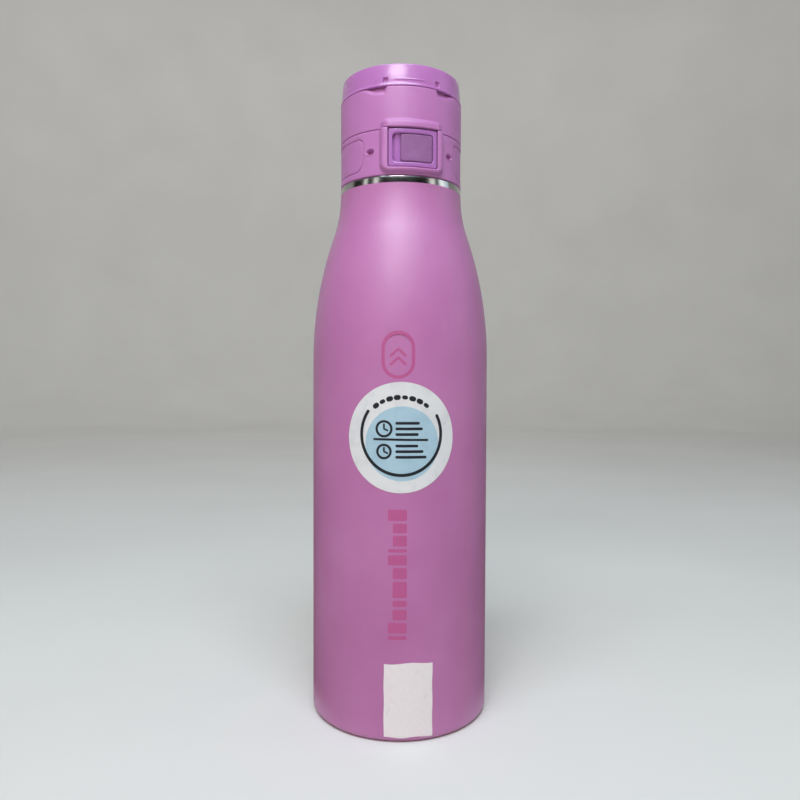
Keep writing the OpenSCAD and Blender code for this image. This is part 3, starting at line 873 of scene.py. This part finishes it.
BEZEL_HALF_W = 12.3
BEZEL_Z = COLLAR_Z + 0.9
WINDOW_HALF_W = BUTTON_W + 0.26
WINDOW_Z = BUTTON_Z - 0.22
PAD_FROM, PAD_Z, PAD_TOP = 47.5, low("side_pad_left", Z), high("side_pad_left", Z)
DIMPLE_A, DIMPLE_Z = 37.9, COLLAR_Z + 9.5


def pad_distance(phi, z, grow=0.0):
    """Distance inside the outline of a side pad, in millimetres."""
    s = np.radians(np.abs(phi) - 90) * NECK_R
    half = math.radians(90 - PAD_FROM) * NECK_R + grow
    return box_distance(s, z, half, PAD_Z - grow, PAD_TOP + grow, 4.2, 2.6)


def collar_height(phi, z):
    """How far the collar's outside stands from its plain cylinder, along each column's spoke."""
    x = NECK_R * np.sin(np.radians(phi))
    base_y = NECK_R * np.cos(np.radians(phi))
    face = -BEZEL_Y - bow(x) - base_y
    floor = np.sqrt(np.maximum((LINER_R + 0.08) ** 2 - x**2, 0)) - base_y
    front = (np.abs(phi) < FRONT_A).astype(float)

    outer = box_distance(x, z, BEZEL_HALF_W, BEZEL_Z, BEZEL_Z + 60, 3.0, 3.0)
    window = box_distance(x, z, WINDOW_HALF_W, WINDOW_Z, WINDOW_Z + 60, 0.8, 0.8)
    raised = face - round_in(outer, 1.2) - round_in(-window, 0.45)
    fillet = round_in(-outer, 0.6)
    wall = smooth(outer / 0.16 + 0.5)
    height = front * (fillet * (1 - wall) + raised * wall)
    hole = smooth(window / 0.1 + 0.5)
    height = height * (1 - hole) + floor * hole * front

    pad = pad_distance(phi, z, 0.15)
    height = height - 0.60 * smooth(pad / 0.25 + 0.3) - 0.10 * smooth((pad + 0.8) / 0.6) * (pad < 0.1)

    s = np.radians(np.abs(phi) - DIMPLE_A) * NECK_R
    away = np.hypot(s / np.where(s > 0, 2.3, 1.2), (z - DIMPLE_Z) / 1.05)
    lip = np.exp(-(((away - 1.25) / 0.3) ** 2)) * np.clip((DIMPLE_Z - z) / 1.2, 0, 1)
    return height - 2.0 * smooth((1.12 - away) / 0.5) + 0.18 * lip


def make_collar(plastic):
    """The lower part of the lid: its outer skin, top plate, side pads and hinge knuckles."""
    marks = []
    for side in (-1, 1):
        for x, reach in ((WINDOW_HALF_W, 0.75), (BEZEL_HALF_W, 1.15)):
            marks.append((edge_angle(side * x), reach * 2.5, 0.22))
        marks.append((side * DIMPLE_A, 5.4, 0.3))
        marks.append((side * (PAD_FROM + 3), 7.5, 0.42))
        marks.append((side * (180 - PAD_FROM - 3), 7.5, 0.42))
        marks.append((side * (180 - edge_angle(KNUCKLE_HALF_W + MOVE_GAP / 2)), 0.6, 0.15))
    phi = places(-180, 180, 2.2, marks)[:-1]
    z_marks = [(BEZEL_Z + 0.8, 1.6, 0.1), (WINDOW_Z + 0.1, 0.9, 0.09), (DIMPLE_Z, 2.3, 0.14)]
    z_marks += [(PAD_Z + 1.6, 2.4, 0.16), (PAD_TOP - 0.8, 1.5, 0.16)]
    edge = 0.45
    levels = places(COLLAR_Z + edge, SEAM_Z - edge, 0.7, z_marks)
    inner = on_ring(LINER_R - 0.1, phi, 0)
    spoke = spokes(phi)
    x = NECK_R * np.sin(np.radians(phi))
    beside_knuckles = (np.abs(phi) > 90) & (np.abs(x) < KNUCKLE_HALF_W + MOVE_GAP / 2)
    top = np.where(beside_knuckles, HINGE_Z - KNUCKLE_ROOM, SEAM_Z)

    def lowered(row, z):
        row[:, 2] = np.minimum(z, top - 0.02 * (SEAM_Z - z))
        return row

    def outer(z, inset):
        point = on_ring(NECK_R, phi, z)
        height = np.maximum(collar_height(phi, z) - inset, LINER_R - NECK_R)
        return lowered(point + spoke * height[:, None], z)

    def inner_row(z):
        return lowered(inner.copy(), z)

    turned = [(edge * (1 - math.cos(a)), edge * (1 - math.sin(a))) for a in np.radians([0, 30, 60])]
    rows = [inner_row(COLLAR_Z)] + [outer(COLLAR_Z + up, inset) for up, inset in turned]
    rows += [outer(z, 0) for z in levels]
    rows += [outer(SEAM_Z - up, inset) for up, inset in reversed(turned)] + [inner_row(SEAM_Z)]
    grid = loop_grid(rows, closed_rows=True)
    build("collar_skin", *grid, plastic, "lid", "lid_plastic", ["lid_collar"], sharp=50)
    make_deck(plastic)
    for side in (-1, 1):
        make_pad(side, plastic)
    for i, (x0, x1) in enumerate(((-HINGE_HALF_W, -6.3), (6.3, HINGE_HALF_W))):
        hinge_barrel(f"collar_knuckle_{i}", x0, x1, 1.0, plastic, "lid")


def make_deck(plastic):
    """The collar's top plate: a round plate with an off-centre hole for the spout."""
    hole_r, plate_r = 12.7, LINER_R
    t = np.radians(np.arange(0, 360, 2.5))
    levels = [(0.0, -1.4), (0.0, -0.3), (0.02, -0.08), (0.05, 0.0), (0.35, 0.0), (0.42, -0.25), (0.58, -0.25),
              (0.65, 0.0), (0.9, 0.0), (1.0, 0.0), (1.0, -1.4)]
    rows = []
    for share, dz in levels:
        inner = np.stack([hole_r * np.cos(t), SPOUT_Y + hole_r * np.sin(t)], -1)
        outer = np.stack([plate_r * np.cos(t), plate_r * np.sin(t)], -1)
        beside_knuckles = (np.abs(outer[:, 0]) < KNUCKLE_HALF_W + MOVE_GAP) & (outer[:, 1] > 0)
        outer[beside_knuckles, 1] = HINGE_Y - KNUCKLE_ROOM
        flat = inner + (outer - inner) * share
        rows.append(np.column_stack([flat, np.full(len(t), SEAM_Z + dz)]))
    build("collar_deck", *loop_grid(rows, closed_rows=True), plastic, "lid", "lid_plastic", ["lid_collar"])


def make_pad(side, plastic):
    """A side pad with rounded outline; beyond the outline its grid dips under the collar's pocket."""
    name = "side_pad_left" if side < 0 else "side_pad_right"
    low_a, high_a = PAD_FROM - 0.4, 180 - PAD_FROM + 0.4
    phi = places(low_a, high_a, 2.0, [(low_a + 4.5, 6.5, 0.4), (high_a - 4.5, 6.5, 0.4)])
    levels = places(PAD_Z - 0.2, PAD_TOP + 0.2, 0.8, [(PAD_Z + 2, 2.6, 0.17), (PAD_TOP - 1, 1.7, 0.17)])
    top, under = [], []
    for z in levels:
        inside = pad_distance(phi, z)
        r = NECK_R - 0.14 - round_in(inside, 0.45) - 0.9 * smooth(-inside / 0.25 + 0.2)
        top.append(on_ring(r, side * phi, z))
        under.append(on_ring(NECK_R - 1.3, side * phi, z))
    plate(name + "_skin", np.array(top), np.array(under), plastic, "lid", "lid_plastic", [name])


def plate(name, front, back, material, body, slot, stands_for, sharp=50):
    """A closed plate between two grids of points of the same shape."""
    rows, cols = front.shape[:2]
    count = rows * cols
    faces = sheet_quads(rows, cols)
    lower = [[count + v for v in reversed(f)] for f in faces]
    rim = list(range(cols)) + [i * cols + cols - 1 for i in range(1, rows)]
    rim += [(rows - 1) * cols + j for j in range(cols - 2, -1, -1)]
    rim += [i * cols for i in range(rows - 2, 0, -1)]
    walls = [[a, b, count + b, count + a] for a, b in zip(rim, rim[1:] + rim[:1])]
    points = np.concatenate([front.reshape(-1, 3), back.reshape(-1, 3)])
    return build(name, points, faces + lower + walls, material, body, slot, stands_for, sharp)


def hinge_barrel(name, x0, x1, bore, material, body):
    """One knuckle of the cover's hinge, with its bore, turned about the hinge's pin from x0 to x1."""
    edge = 0.35
    corner = [(bore, 0), (KNUCKLE_R - edge, 0), (KNUCKLE_R - edge * 0.3, edge * 0.3), (KNUCKLE_R, edge)]
    profile = [(r, x0 + inset) for r, inset in corner] + [(r, x1 - inset) for r, inset in reversed(corner)]
    rows = np.roll(rings(profile, 64, (HINGE_Y, HINGE_Z)), 1, axis=-1)
    node = "lid_collar" if body == "lid" else "flip_cover"
    build(name, *loop_grid(rows, closed_rows=True), material, body, "lid_plastic", [node])


# ---- Button and slider -----------------------------------------------------------------------

RECESS_HALF_W = 7.9
RECESS_Z, RECESS_H = BUTTON_Z + 1.8, 10.8
RECESS_DEPTH = 1.7


def fitted(x, z, half_w, low_z, high_z, corner):
    """Draws the rows of a rectangular grid in, so that its outline has round corners."""
    into = np.maximum(np.maximum(low_z + corner - z, z - high_z + corner), 0)
    cut = corner - np.sqrt(np.maximum(corner**2 - into**2, 0))
    return x * (half_w - cut) / half_w


def make_button(plastic):
    """The violet frame: a bowed face round a recess, flat where the latch tongue lies behind its floor."""
    marks = [(side * RECESS_HALF_W, 0.9, 0.09) for side in (-1, 1)]
    marks += [(side * BUTTON_W, 0.7, 0.09) for side in (-1, 1)]
    xs = places(-BUTTON_W, BUTTON_W, 0.5, marks)
    z_marks = [(RECESS_Z + 0.2, 0.9, 0.09), (RECESS_Z + RECESS_H - 0.2, 0.9, 0.09)]
    z_marks += [(BUTTON_Z, 0.6, 0.09), (BUTTON_TOP, 0.6, 0.09)]
    zs = places(BUTTON_Z, BUTTON_TOP, 0.5, z_marks)
    x, z = np.meshgrid(xs, zs)
    corner = 0.6
    x = fitted(x, z, BUTTON_W, BUTTON_Z, BUTTON_TOP, corner)
    outline = box_distance(x, z, BUTTON_W, BUTTON_Z, BUTTON_TOP, corner, corner)
    recess = box_distance(x, z, RECESS_HALF_W, RECESS_Z, RECESS_Z + RECESS_H, 1.5, 1.5)
    face = round_in(outline, 0.35) + round_in(-recess, 0.6)
    floor = RECESS_DEPTH - round_in(recess, 0.15) - bow(x) * (1 - smooth((np.abs(x) - 6.2) / 1.2))
    depth = face + (floor - face) * smooth(recess / 0.1 + 0.5)
    front = np.stack([x, BUTTON_Y + bow(x) + depth, z], -1)
    back_r = LINER_R + 1.6
    back = np.stack([x, -np.sqrt(back_r**2 - x**2), z], -1)
    plate("button_frame", front, back, plastic, "button", "button_plastic", ["release_button"])


def make_slider(plastic):
    """The lock slider's bowed face in the button's recess."""
    x0, x1 = low("lock_slider", X), high("lock_slider", X)
    z0, z1 = low("lock_slider", Z), high("lock_slider", Z)
    xs = places(x0, x1, 0.5, [(x0, 1.3, 0.09), (x1, 1.3, 0.09)])
    zs = places(z0, z1, 0.5, [(z0, 1.3, 0.09), (z1, 1.3, 0.09)])
    x, z = np.meshgrid(xs, zs)
    middle, half_w, corner = (x0 + x1) / 2, (x1 - x0) / 2, 1.1
    x = middle + fitted(x - middle, z, half_w, z0, z1, corner)
    d = box_distance(x - middle, z, half_w, z0, z1, corner, corner)
    face = BUTTON_Y + 0.12 + bow(x) + 0.12 * smooth((d - 0.8) / 5) + round_in(d, 0.45)
    front = np.stack([x, face, z], -1)
    back = np.stack([x, np.full_like(x, BUTTON_Y + RECESS_DEPTH - 0.05), z], -1)
    plate("slider_cap", front, back, plastic, "slider", "slider_plastic", ["lock_slider"])


# ---- Flip cover ------------------------------------------------------------------------------

HOOD_HALF_W, HOOD_TOP = 11.9, COVER_Z + 3.5
POCKET_HALF_W, POCKET_TOP = 6.6, COVER_Z + 2.8
COVER_WALL = 2.4
CAVITY_TOP = SEAT_Z - 2.5
PLATEAU_R, PLATEAU_TOP = NECK_R - 8.9, SEAT_Z + 3.6
BOSS_HALF_W = 11.68
REAR_Y = PIVOT_Y + ARM_R + MOVE_GAP


def scoop_shape(phi):
    """Strength of the finger scoops round the rim, 0 to 1: abrupt beside the tab, fading further round."""
    return between(np.abs(phi), 21.5, 4.0, 31, 24)


def cover_height(phi, z):
    """How far the cover's outside stands from its plain cylinder."""
    x = NECK_R * np.sin(np.radians(phi))
    face = -BEZEL_Y - bow(x) - NECK_R * np.cos(np.radians(phi))
    front = (np.abs(phi) < FRONT_A).astype(float)
    hood = box_distance(x, z, HOOD_HALF_W, COVER_Z - 60, HOOD_TOP, 2.0, 2.0)
    edge = 2.1
    crown = face * (1 - round_in(hood, edge) / edge) - round_in(z - COVER_Z, 0.3)
    foot = 0.16 * np.clip(1 + hood / 0.7, 0, 1) ** 2
    height = front * np.where(hood > 0, np.maximum(crown, foot), foot)
    strength = scoop_shape(phi)
    up = z - (SEAT_Z - 3.4 * strength)
    return height - 1.8 * strength**0.7 * smooth(up / 3.2)


def make_cover(plastic):
    """The flip cover in one skin, from the top of its plateau down the outside and up into its cavity."""
    marks = [(edge_angle(side * HOOD_HALF_W), 3.2, 0.25) for side in (-1, 1)]
    marks += [(side * 24, 4.5, 0.35) for side in (-1, 1)]
    marks += [(side * edge_angle(POCKET_HALF_W), 0.5, 0.2) for side in (-1, 1)]
    for x in (KNUCKLE_HALF_W, HINGE_HALF_W + MOVE_GAP):
        marks += [(180 - side * edge_angle(x), 0.8, 0.2) for side in (-1, 1)]
    marks += [(m[0] - 360, m[1], m[2]) for m in marks if m[0] > 180]
    phi = places(-180, 180, 2.2, marks)[:-1]
    levels = places(COVER_Z + 0.3, SEAT_Z - 0.25, 0.6,
                    [(HOOD_TOP - 0.6, 1.6, 0.12), (SEAT_Z - 1, 3.5, 0.28), (COVER_Z + 0.4, 0.5, 0.12)])
    spoke = spokes(phi)
    x = NECK_R * np.sin(np.radians(phi))
    behind = np.abs(phi) > 90
    gap = behind & (np.abs(x) > KNUCKLE_HALF_W) & (np.abs(x) < HINGE_HALF_W + 0.35)
    base = np.where(gap, HINGE_Z + KNUCKLE_ROOM, COVER_Z)

    def outer(z, inset):
        height = np.maximum(cover_height(phi, z) - inset, 0.6 - COVER_WALL)
        point = on_ring(NECK_R, phi, z) + spoke * height[:, None]
        point[:, 2] = np.maximum(point[:, 2], base + (z - COVER_Z) * 0.02)
        return point

    def inner(z):
        point = on_ring(NECK_R - COVER_WALL, phi, z)
        pocket = (np.abs(x) < POCKET_HALF_W) & ~behind & (z < POCKET_TOP)
        point[pocket, 1] = TONGUE_Y - 0.25 if z < CATCH_Z else BEZEL_Y + 1.6
        point[pocket, 0] = x[pocket]
        point[:, 2] = np.maximum(point[:, 2], base + (z - COVER_Z) * 0.02)
        return point

    def flat(r, z):
        point = on_ring(r, phi, z)
        if z > SEAT_Z:
            widest = BOSS_HALF_W - 0.1
            arm_room = (np.abs(point[:, 0]) > widest) & (point[:, 1] > PIVOT_Y - ARM_R - 0.4)
            point[arm_room, 0] = np.sign(point[arm_room, 0]) * widest
        return point

    edge = 0.25
    seat_edge = NECK_R + cover_height(phi, SEAT_Z)
    rows = [flat(r, PLATEAU_TOP) for r in (0.01, 4, 8, 12, PLATEAU_R - 1.0)]
    rows += [flat(PLATEAU_R - 1 + math.sin(a), PLATEAU_TOP - 1 + math.cos(a))
             for a in (0.4, 0.8, 1.2, math.pi / 2)]
    rows += [flat(PLATEAU_R + out, SEAT_Z + up) for out, up in ((0, 1.2), (0.15, 0.35), (0.5, 0))]
    foot_r = PLATEAU_R + 0.5
    rows += [flat(foot_r + (seat_edge - 0.6 - foot_r) * share, SEAT_Z) for share in (0.3, 0.6, 0.85)]
    rows += [outer(SEAT_Z, edge), outer(SEAT_Z - edge * 0.3, edge * 0.3)]
    rows += [outer(z, 0) for z in levels[::-1]]
    rows += [outer(COVER_Z + 0.1, 0.1), outer(COVER_Z, 0.3), inner(COVER_Z)]
    rows += [inner(z) for z in (CATCH_Z - 0.02, CATCH_Z, POCKET_TOP - 0.02, POCKET_TOP + 0.02, COVER_Z + 8)]
    rows += [flat(NECK_R - COVER_WALL, CAVITY_TOP)] + [flat(r, CAVITY_TOP) for r in (16, 8, 0.01)]
    build("cover_skin", *loop_grid(rows), plastic, "cover", "lid_plastic", ["flip_cover"], sharp=50)
    make_rear_block(plastic)
    for i, (x0, x1) in enumerate(((-KNUCKLE_HALF_W, -2.6), (2.6, KNUCKLE_HALF_W))):
        hinge_barrel(f"cover_knuckle_{i}", x0, x1, 1.06, plastic, "cover")


def make_rear_block(plastic):
    """The cover's block behind the handle, with the boss that holds the handle's pins."""
    reach = math.degrees(math.acos(REAR_Y / NECK_R))
    back = [tuple(on_ring(NECK_R, a, 0)[:2]) for a in np.linspace(180 - reach, 180 + reach, 41)]
    half_x = NECK_R * math.sin(math.radians(180 - reach))
    front_y = PIVOT_Y - ARM_R
    outline = [(BOSS_HALF_W, REAR_Y), (half_x, REAR_Y)] + back[1:-1]
    outline += [(-half_x, REAR_Y), (-BOSS_HALF_W, REAR_Y), (-BOSS_HALF_W, front_y), (BOSS_HALF_W, front_y)]
    work = bmesh.new()
    ring = [work.verts.new((px * MM, py * MM, (SEAT_Z - 0.6) * MM)) for px, py in outline]
    base_face = work.faces.new(ring)
    lifted = bmesh.ops.extrude_face_region(work, geom=[base_face])
    verts = [g for g in lifted["geom"] if isinstance(g, bmesh.types.BMVert)]
    bmesh.ops.translate(work, verts=verts, vec=(0, 0, (TOP_Z - SEAT_Z + 0.6) * MM))
    bmesh.ops.recalc_face_normals(work, faces=work.faces)
    top = [e for e in work.edges if all(v.co.z > (TOP_Z - 0.1) * MM for v in e.verts)]
    upright = [e for e in work.edges
               if abs(e.verts[0].co.z - e.verts[1].co.z) > 5 * MM and e.calc_face_angle(0) > 0.5]
    bmesh.ops.bevel(work, geom=top + upright, offset=0.55 * MM, segments=5, profile=0.5, affect="EDGES",
                    clamp_overlap=True)
    name = "cover_rear_block"
    finished(name, bpy.data.meshes.new(name), work, plastic, "cover", ["flip_cover"], 50)


# ---- Carry handle ----------------------------------------------------------------------------

HANDLE_IN_R = NECK_R - 6.6
ARM_X = 12.5
ARM_END_R = ARM_R + 0.05


def make_handle(plastic):
    """The ring: a rounded section swept round the rim, with half-round ends about its pivots."""
    end_a = 180 - math.degrees(math.atan2(ARM_X, PIVOT_Y + ARM_END_R))
    marks = [(side * a, 1.6, 0.25) for side in (-1, 1) for a in (14.5, 22.4, 26.8)]
    marks += [(side * 134, 11, 0.6) for side in (-1, 1)]
    phi = places(-end_a + 0.05, end_a - 0.05, 1.6, marks)
    height = TOP_Z - HANDLE_Z
    section = handle_section(height)
    rows = []
    for a in phi:
        s, c = abs(math.sin(math.radians(a))), -math.cos(math.radians(a))
        inner, outer = HANDLE_IN_R, NECK_R
        if c > 0:
            inner = max(inner, ARM_X / s) if c * HANDLE_IN_R > PIVOT_Y - 0.05 else inner
            outer = min(outer, (PIVOT_Y + ARM_END_R - 0.002) / c)
        row = []
        for share, up in section:
            r = inner + (outer - inner) * share
            r += handle_relief(a, share, up * height)
            behind = max(r * c - PIVOT_Y, 0)
            half = min(math.sqrt(max(ARM_END_R**2 - behind**2, 1e-6)), height / 2)
            z = PIVOT_Z + (up - 0.5) * 2 * half
            row.append((r * math.sin(math.radians(a)), r * c, z))
        rows.append(row)
    swept("handle_ring", rows, plastic, "handle", "gloss_handle", ["carry_handle"], sharp=50)


def handle_section(height):
    """The section as (share across, share up), counter-clockwise, with rounded corners and a lower lip."""
    width = NECK_R - HANDLE_IN_R
    lip, edge, step_in, taper = 1.1, 0.6, 0.42, 0.85
    wall_foot = lip + 0.2

    def at(across, up):
        return across / width, up / height

    outside = [at(width - 0.25, 0), at(width - 0.07, 0.07), at(width, 0.2)]
    outside += [at(width - 0.26 * t**1.5, 0.2 + (lip - 0.2) * t) for t in np.linspace(0, 1, 9)[1:]]
    outside += [at(width - step_in + 0.04, lip + 0.05), at(width - step_in, wall_foot)]
    outside += [at(width - step_in - (taper - step_in) * t**1.8, wall_foot + (height - edge - wall_foot) * t)
                for t in np.linspace(0, 1, 24)[1:]]
    crown = [at(width - taper - edge * (1 - math.cos(a)), height - edge * (1 - math.sin(a)))
             for a in np.radians([15, 30, 45, 60, 75, 90])]
    top = [at(x, height - 0.12 * math.sin(math.pi * x / width)) for x in (4.4, 3.2, 2.0)]
    inside = [at(edge * (1 - math.sin(a)), height - edge * (1 - math.cos(a)))
              for a in np.radians([0, 30, 60, 90])]
    inside += [at(0, h) for h in (6, 4, 2, 0.6)] + [at(0.15, 0.15), at(0.6, 0)]
    bottom = [at(x, 0) for x in (1.6, 3.0, 4.4, 5.4)]
    return outside + crown + top + inside + bottom


def handle_relief(a, share, up):
    """Small features on the outside of the ring's front: two notches and a slim ridge between them."""
    if share < 0.8:
        return 0.0
    notch = between(abs(a), 22.2, 0.5, 26.4, 1.2) * between(up, 1.15, 0.25, 2.9, 0.5)
    ridge = (1 - smooth((abs(a + 2) - 13.5) / 1.2)) * between(up, 2.15, 0.15, 2.3, 0.6)
    return 0.22 * ridge - 0.85 * notch


# ---- Inner pieces ----------------------------------------------------------------------------


def make_spout(plastic):
    """The drinking spout: a flange and a tube with a rounded lip."""
    top, flange = SPOUT_TOP, SPOUT_Z + 1.6
    profile = [(7.5, SPOUT_Z), (12.5, SPOUT_Z)] + arc(12.1, flange - 0.4, 0.4, 0, 90, 5)
    profile += arc(11.6, flange + 1.4, 1.4, 270, 180, 6)
    profile += [(10.15, flange + 4), (9.9, top - 2.5)]
    profile += arc(8.55, top - 1.05, 1.05, 10, 170, 14)
    profile += [(7.5, top - 2.4), (7.5, flange + 3)]
    lathe("spout_tube", profile, plastic, "lid", "lid_plastic", ["spout"], 128, centre=(0, SPOUT_Y))


def make_leaf_spring(wire):
    """The bowed leaf behind the button, drawn bowed; the real leaf flattens against the liner as the button
    goes in.
    """
    r_out, thickness, half_a = -low("button_spring", Y), 0.25, 13
    z0, z1 = low("button_spring", Z), high("button_spring", Z)
    section = [(r_out - thickness, z0), (r_out, z0), (r_out, z1), (r_out - thickness, z1)]
    rows = [[on_ring(r, a, z) for r, z in section] for a in np.linspace(-half_a, half_a, 27)]
    leaf = swept("spring_leaf", rows, wire, "lid", "spring_steel", ["button_spring"])
    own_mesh(leaf)


def dress(names, material):
    """Gives CAD nodes that stay in view their material."""
    for name in names:
        mesh = nodes[name].data
        if not mesh.materials:
            mesh.materials.append(material)
        for i in range(len(mesh.materials)):
            mesh.materials[i] = material


def make_stage(paint):
    """A pale floor that curves up into a wall all round."""
    wall_r, bend, wall_top = 2600, 700, 2600
    profile = [(0.01, 0), (400, 0), (1000, 0)]
    profile += arc(wall_r - bend, bend, bend, -90, 0, 16) + [(wall_r, wall_top)]
    build("studio_floor", *loop_grid(rings(profile, 96)), paint, None, None)


bpy.context.scene.view_settings.view_transform = "Standard"
make_camera()
make_lights()
make_stage(floor_paint())

coat, plastic, steel, wire = powder_coat(), lid_plastic(), bare_steel(), spring_wire()
make_shell(coat)
make_base(coat)
make_neck(steel)
make_prints(print_ink("pink_print", PRINT_PINK))
make_round_label(label_stock("label_white", (0.69, 0.70, 0.71), (0.62, 0.63, 0.65)),
                 label_stock("label_blue", (0.37, 0.54, 0.64), (0.33, 0.50, 0.60)),
                 print_ink("label_ink", INK))
make_paper_label(white_paper())
make_collar(plastic)
make_button(button_plastic())
make_slider(slider_plastic())
make_cover(plastic)
make_handle(gloss_handle())
make_spout(plastic)
make_leaf_spring(wire)
dress(["inner_flask"], inner_steel())
dress(["foil_wrap"], copper_foil())
dress(["vacuum_getter", "vacuum_seal"], dull_metal())
dress(["mouth_gasket", "spout_gasket", "spout_seal"], silicone())
dress(["threaded_liner", "cover_liner", "slider_clip"], liner_plastic())
dress(["cover_hinge_pin", "handle_pins", "catch_plate"], steel)
dress(["cover_spring", "latch_tongue"], wire)
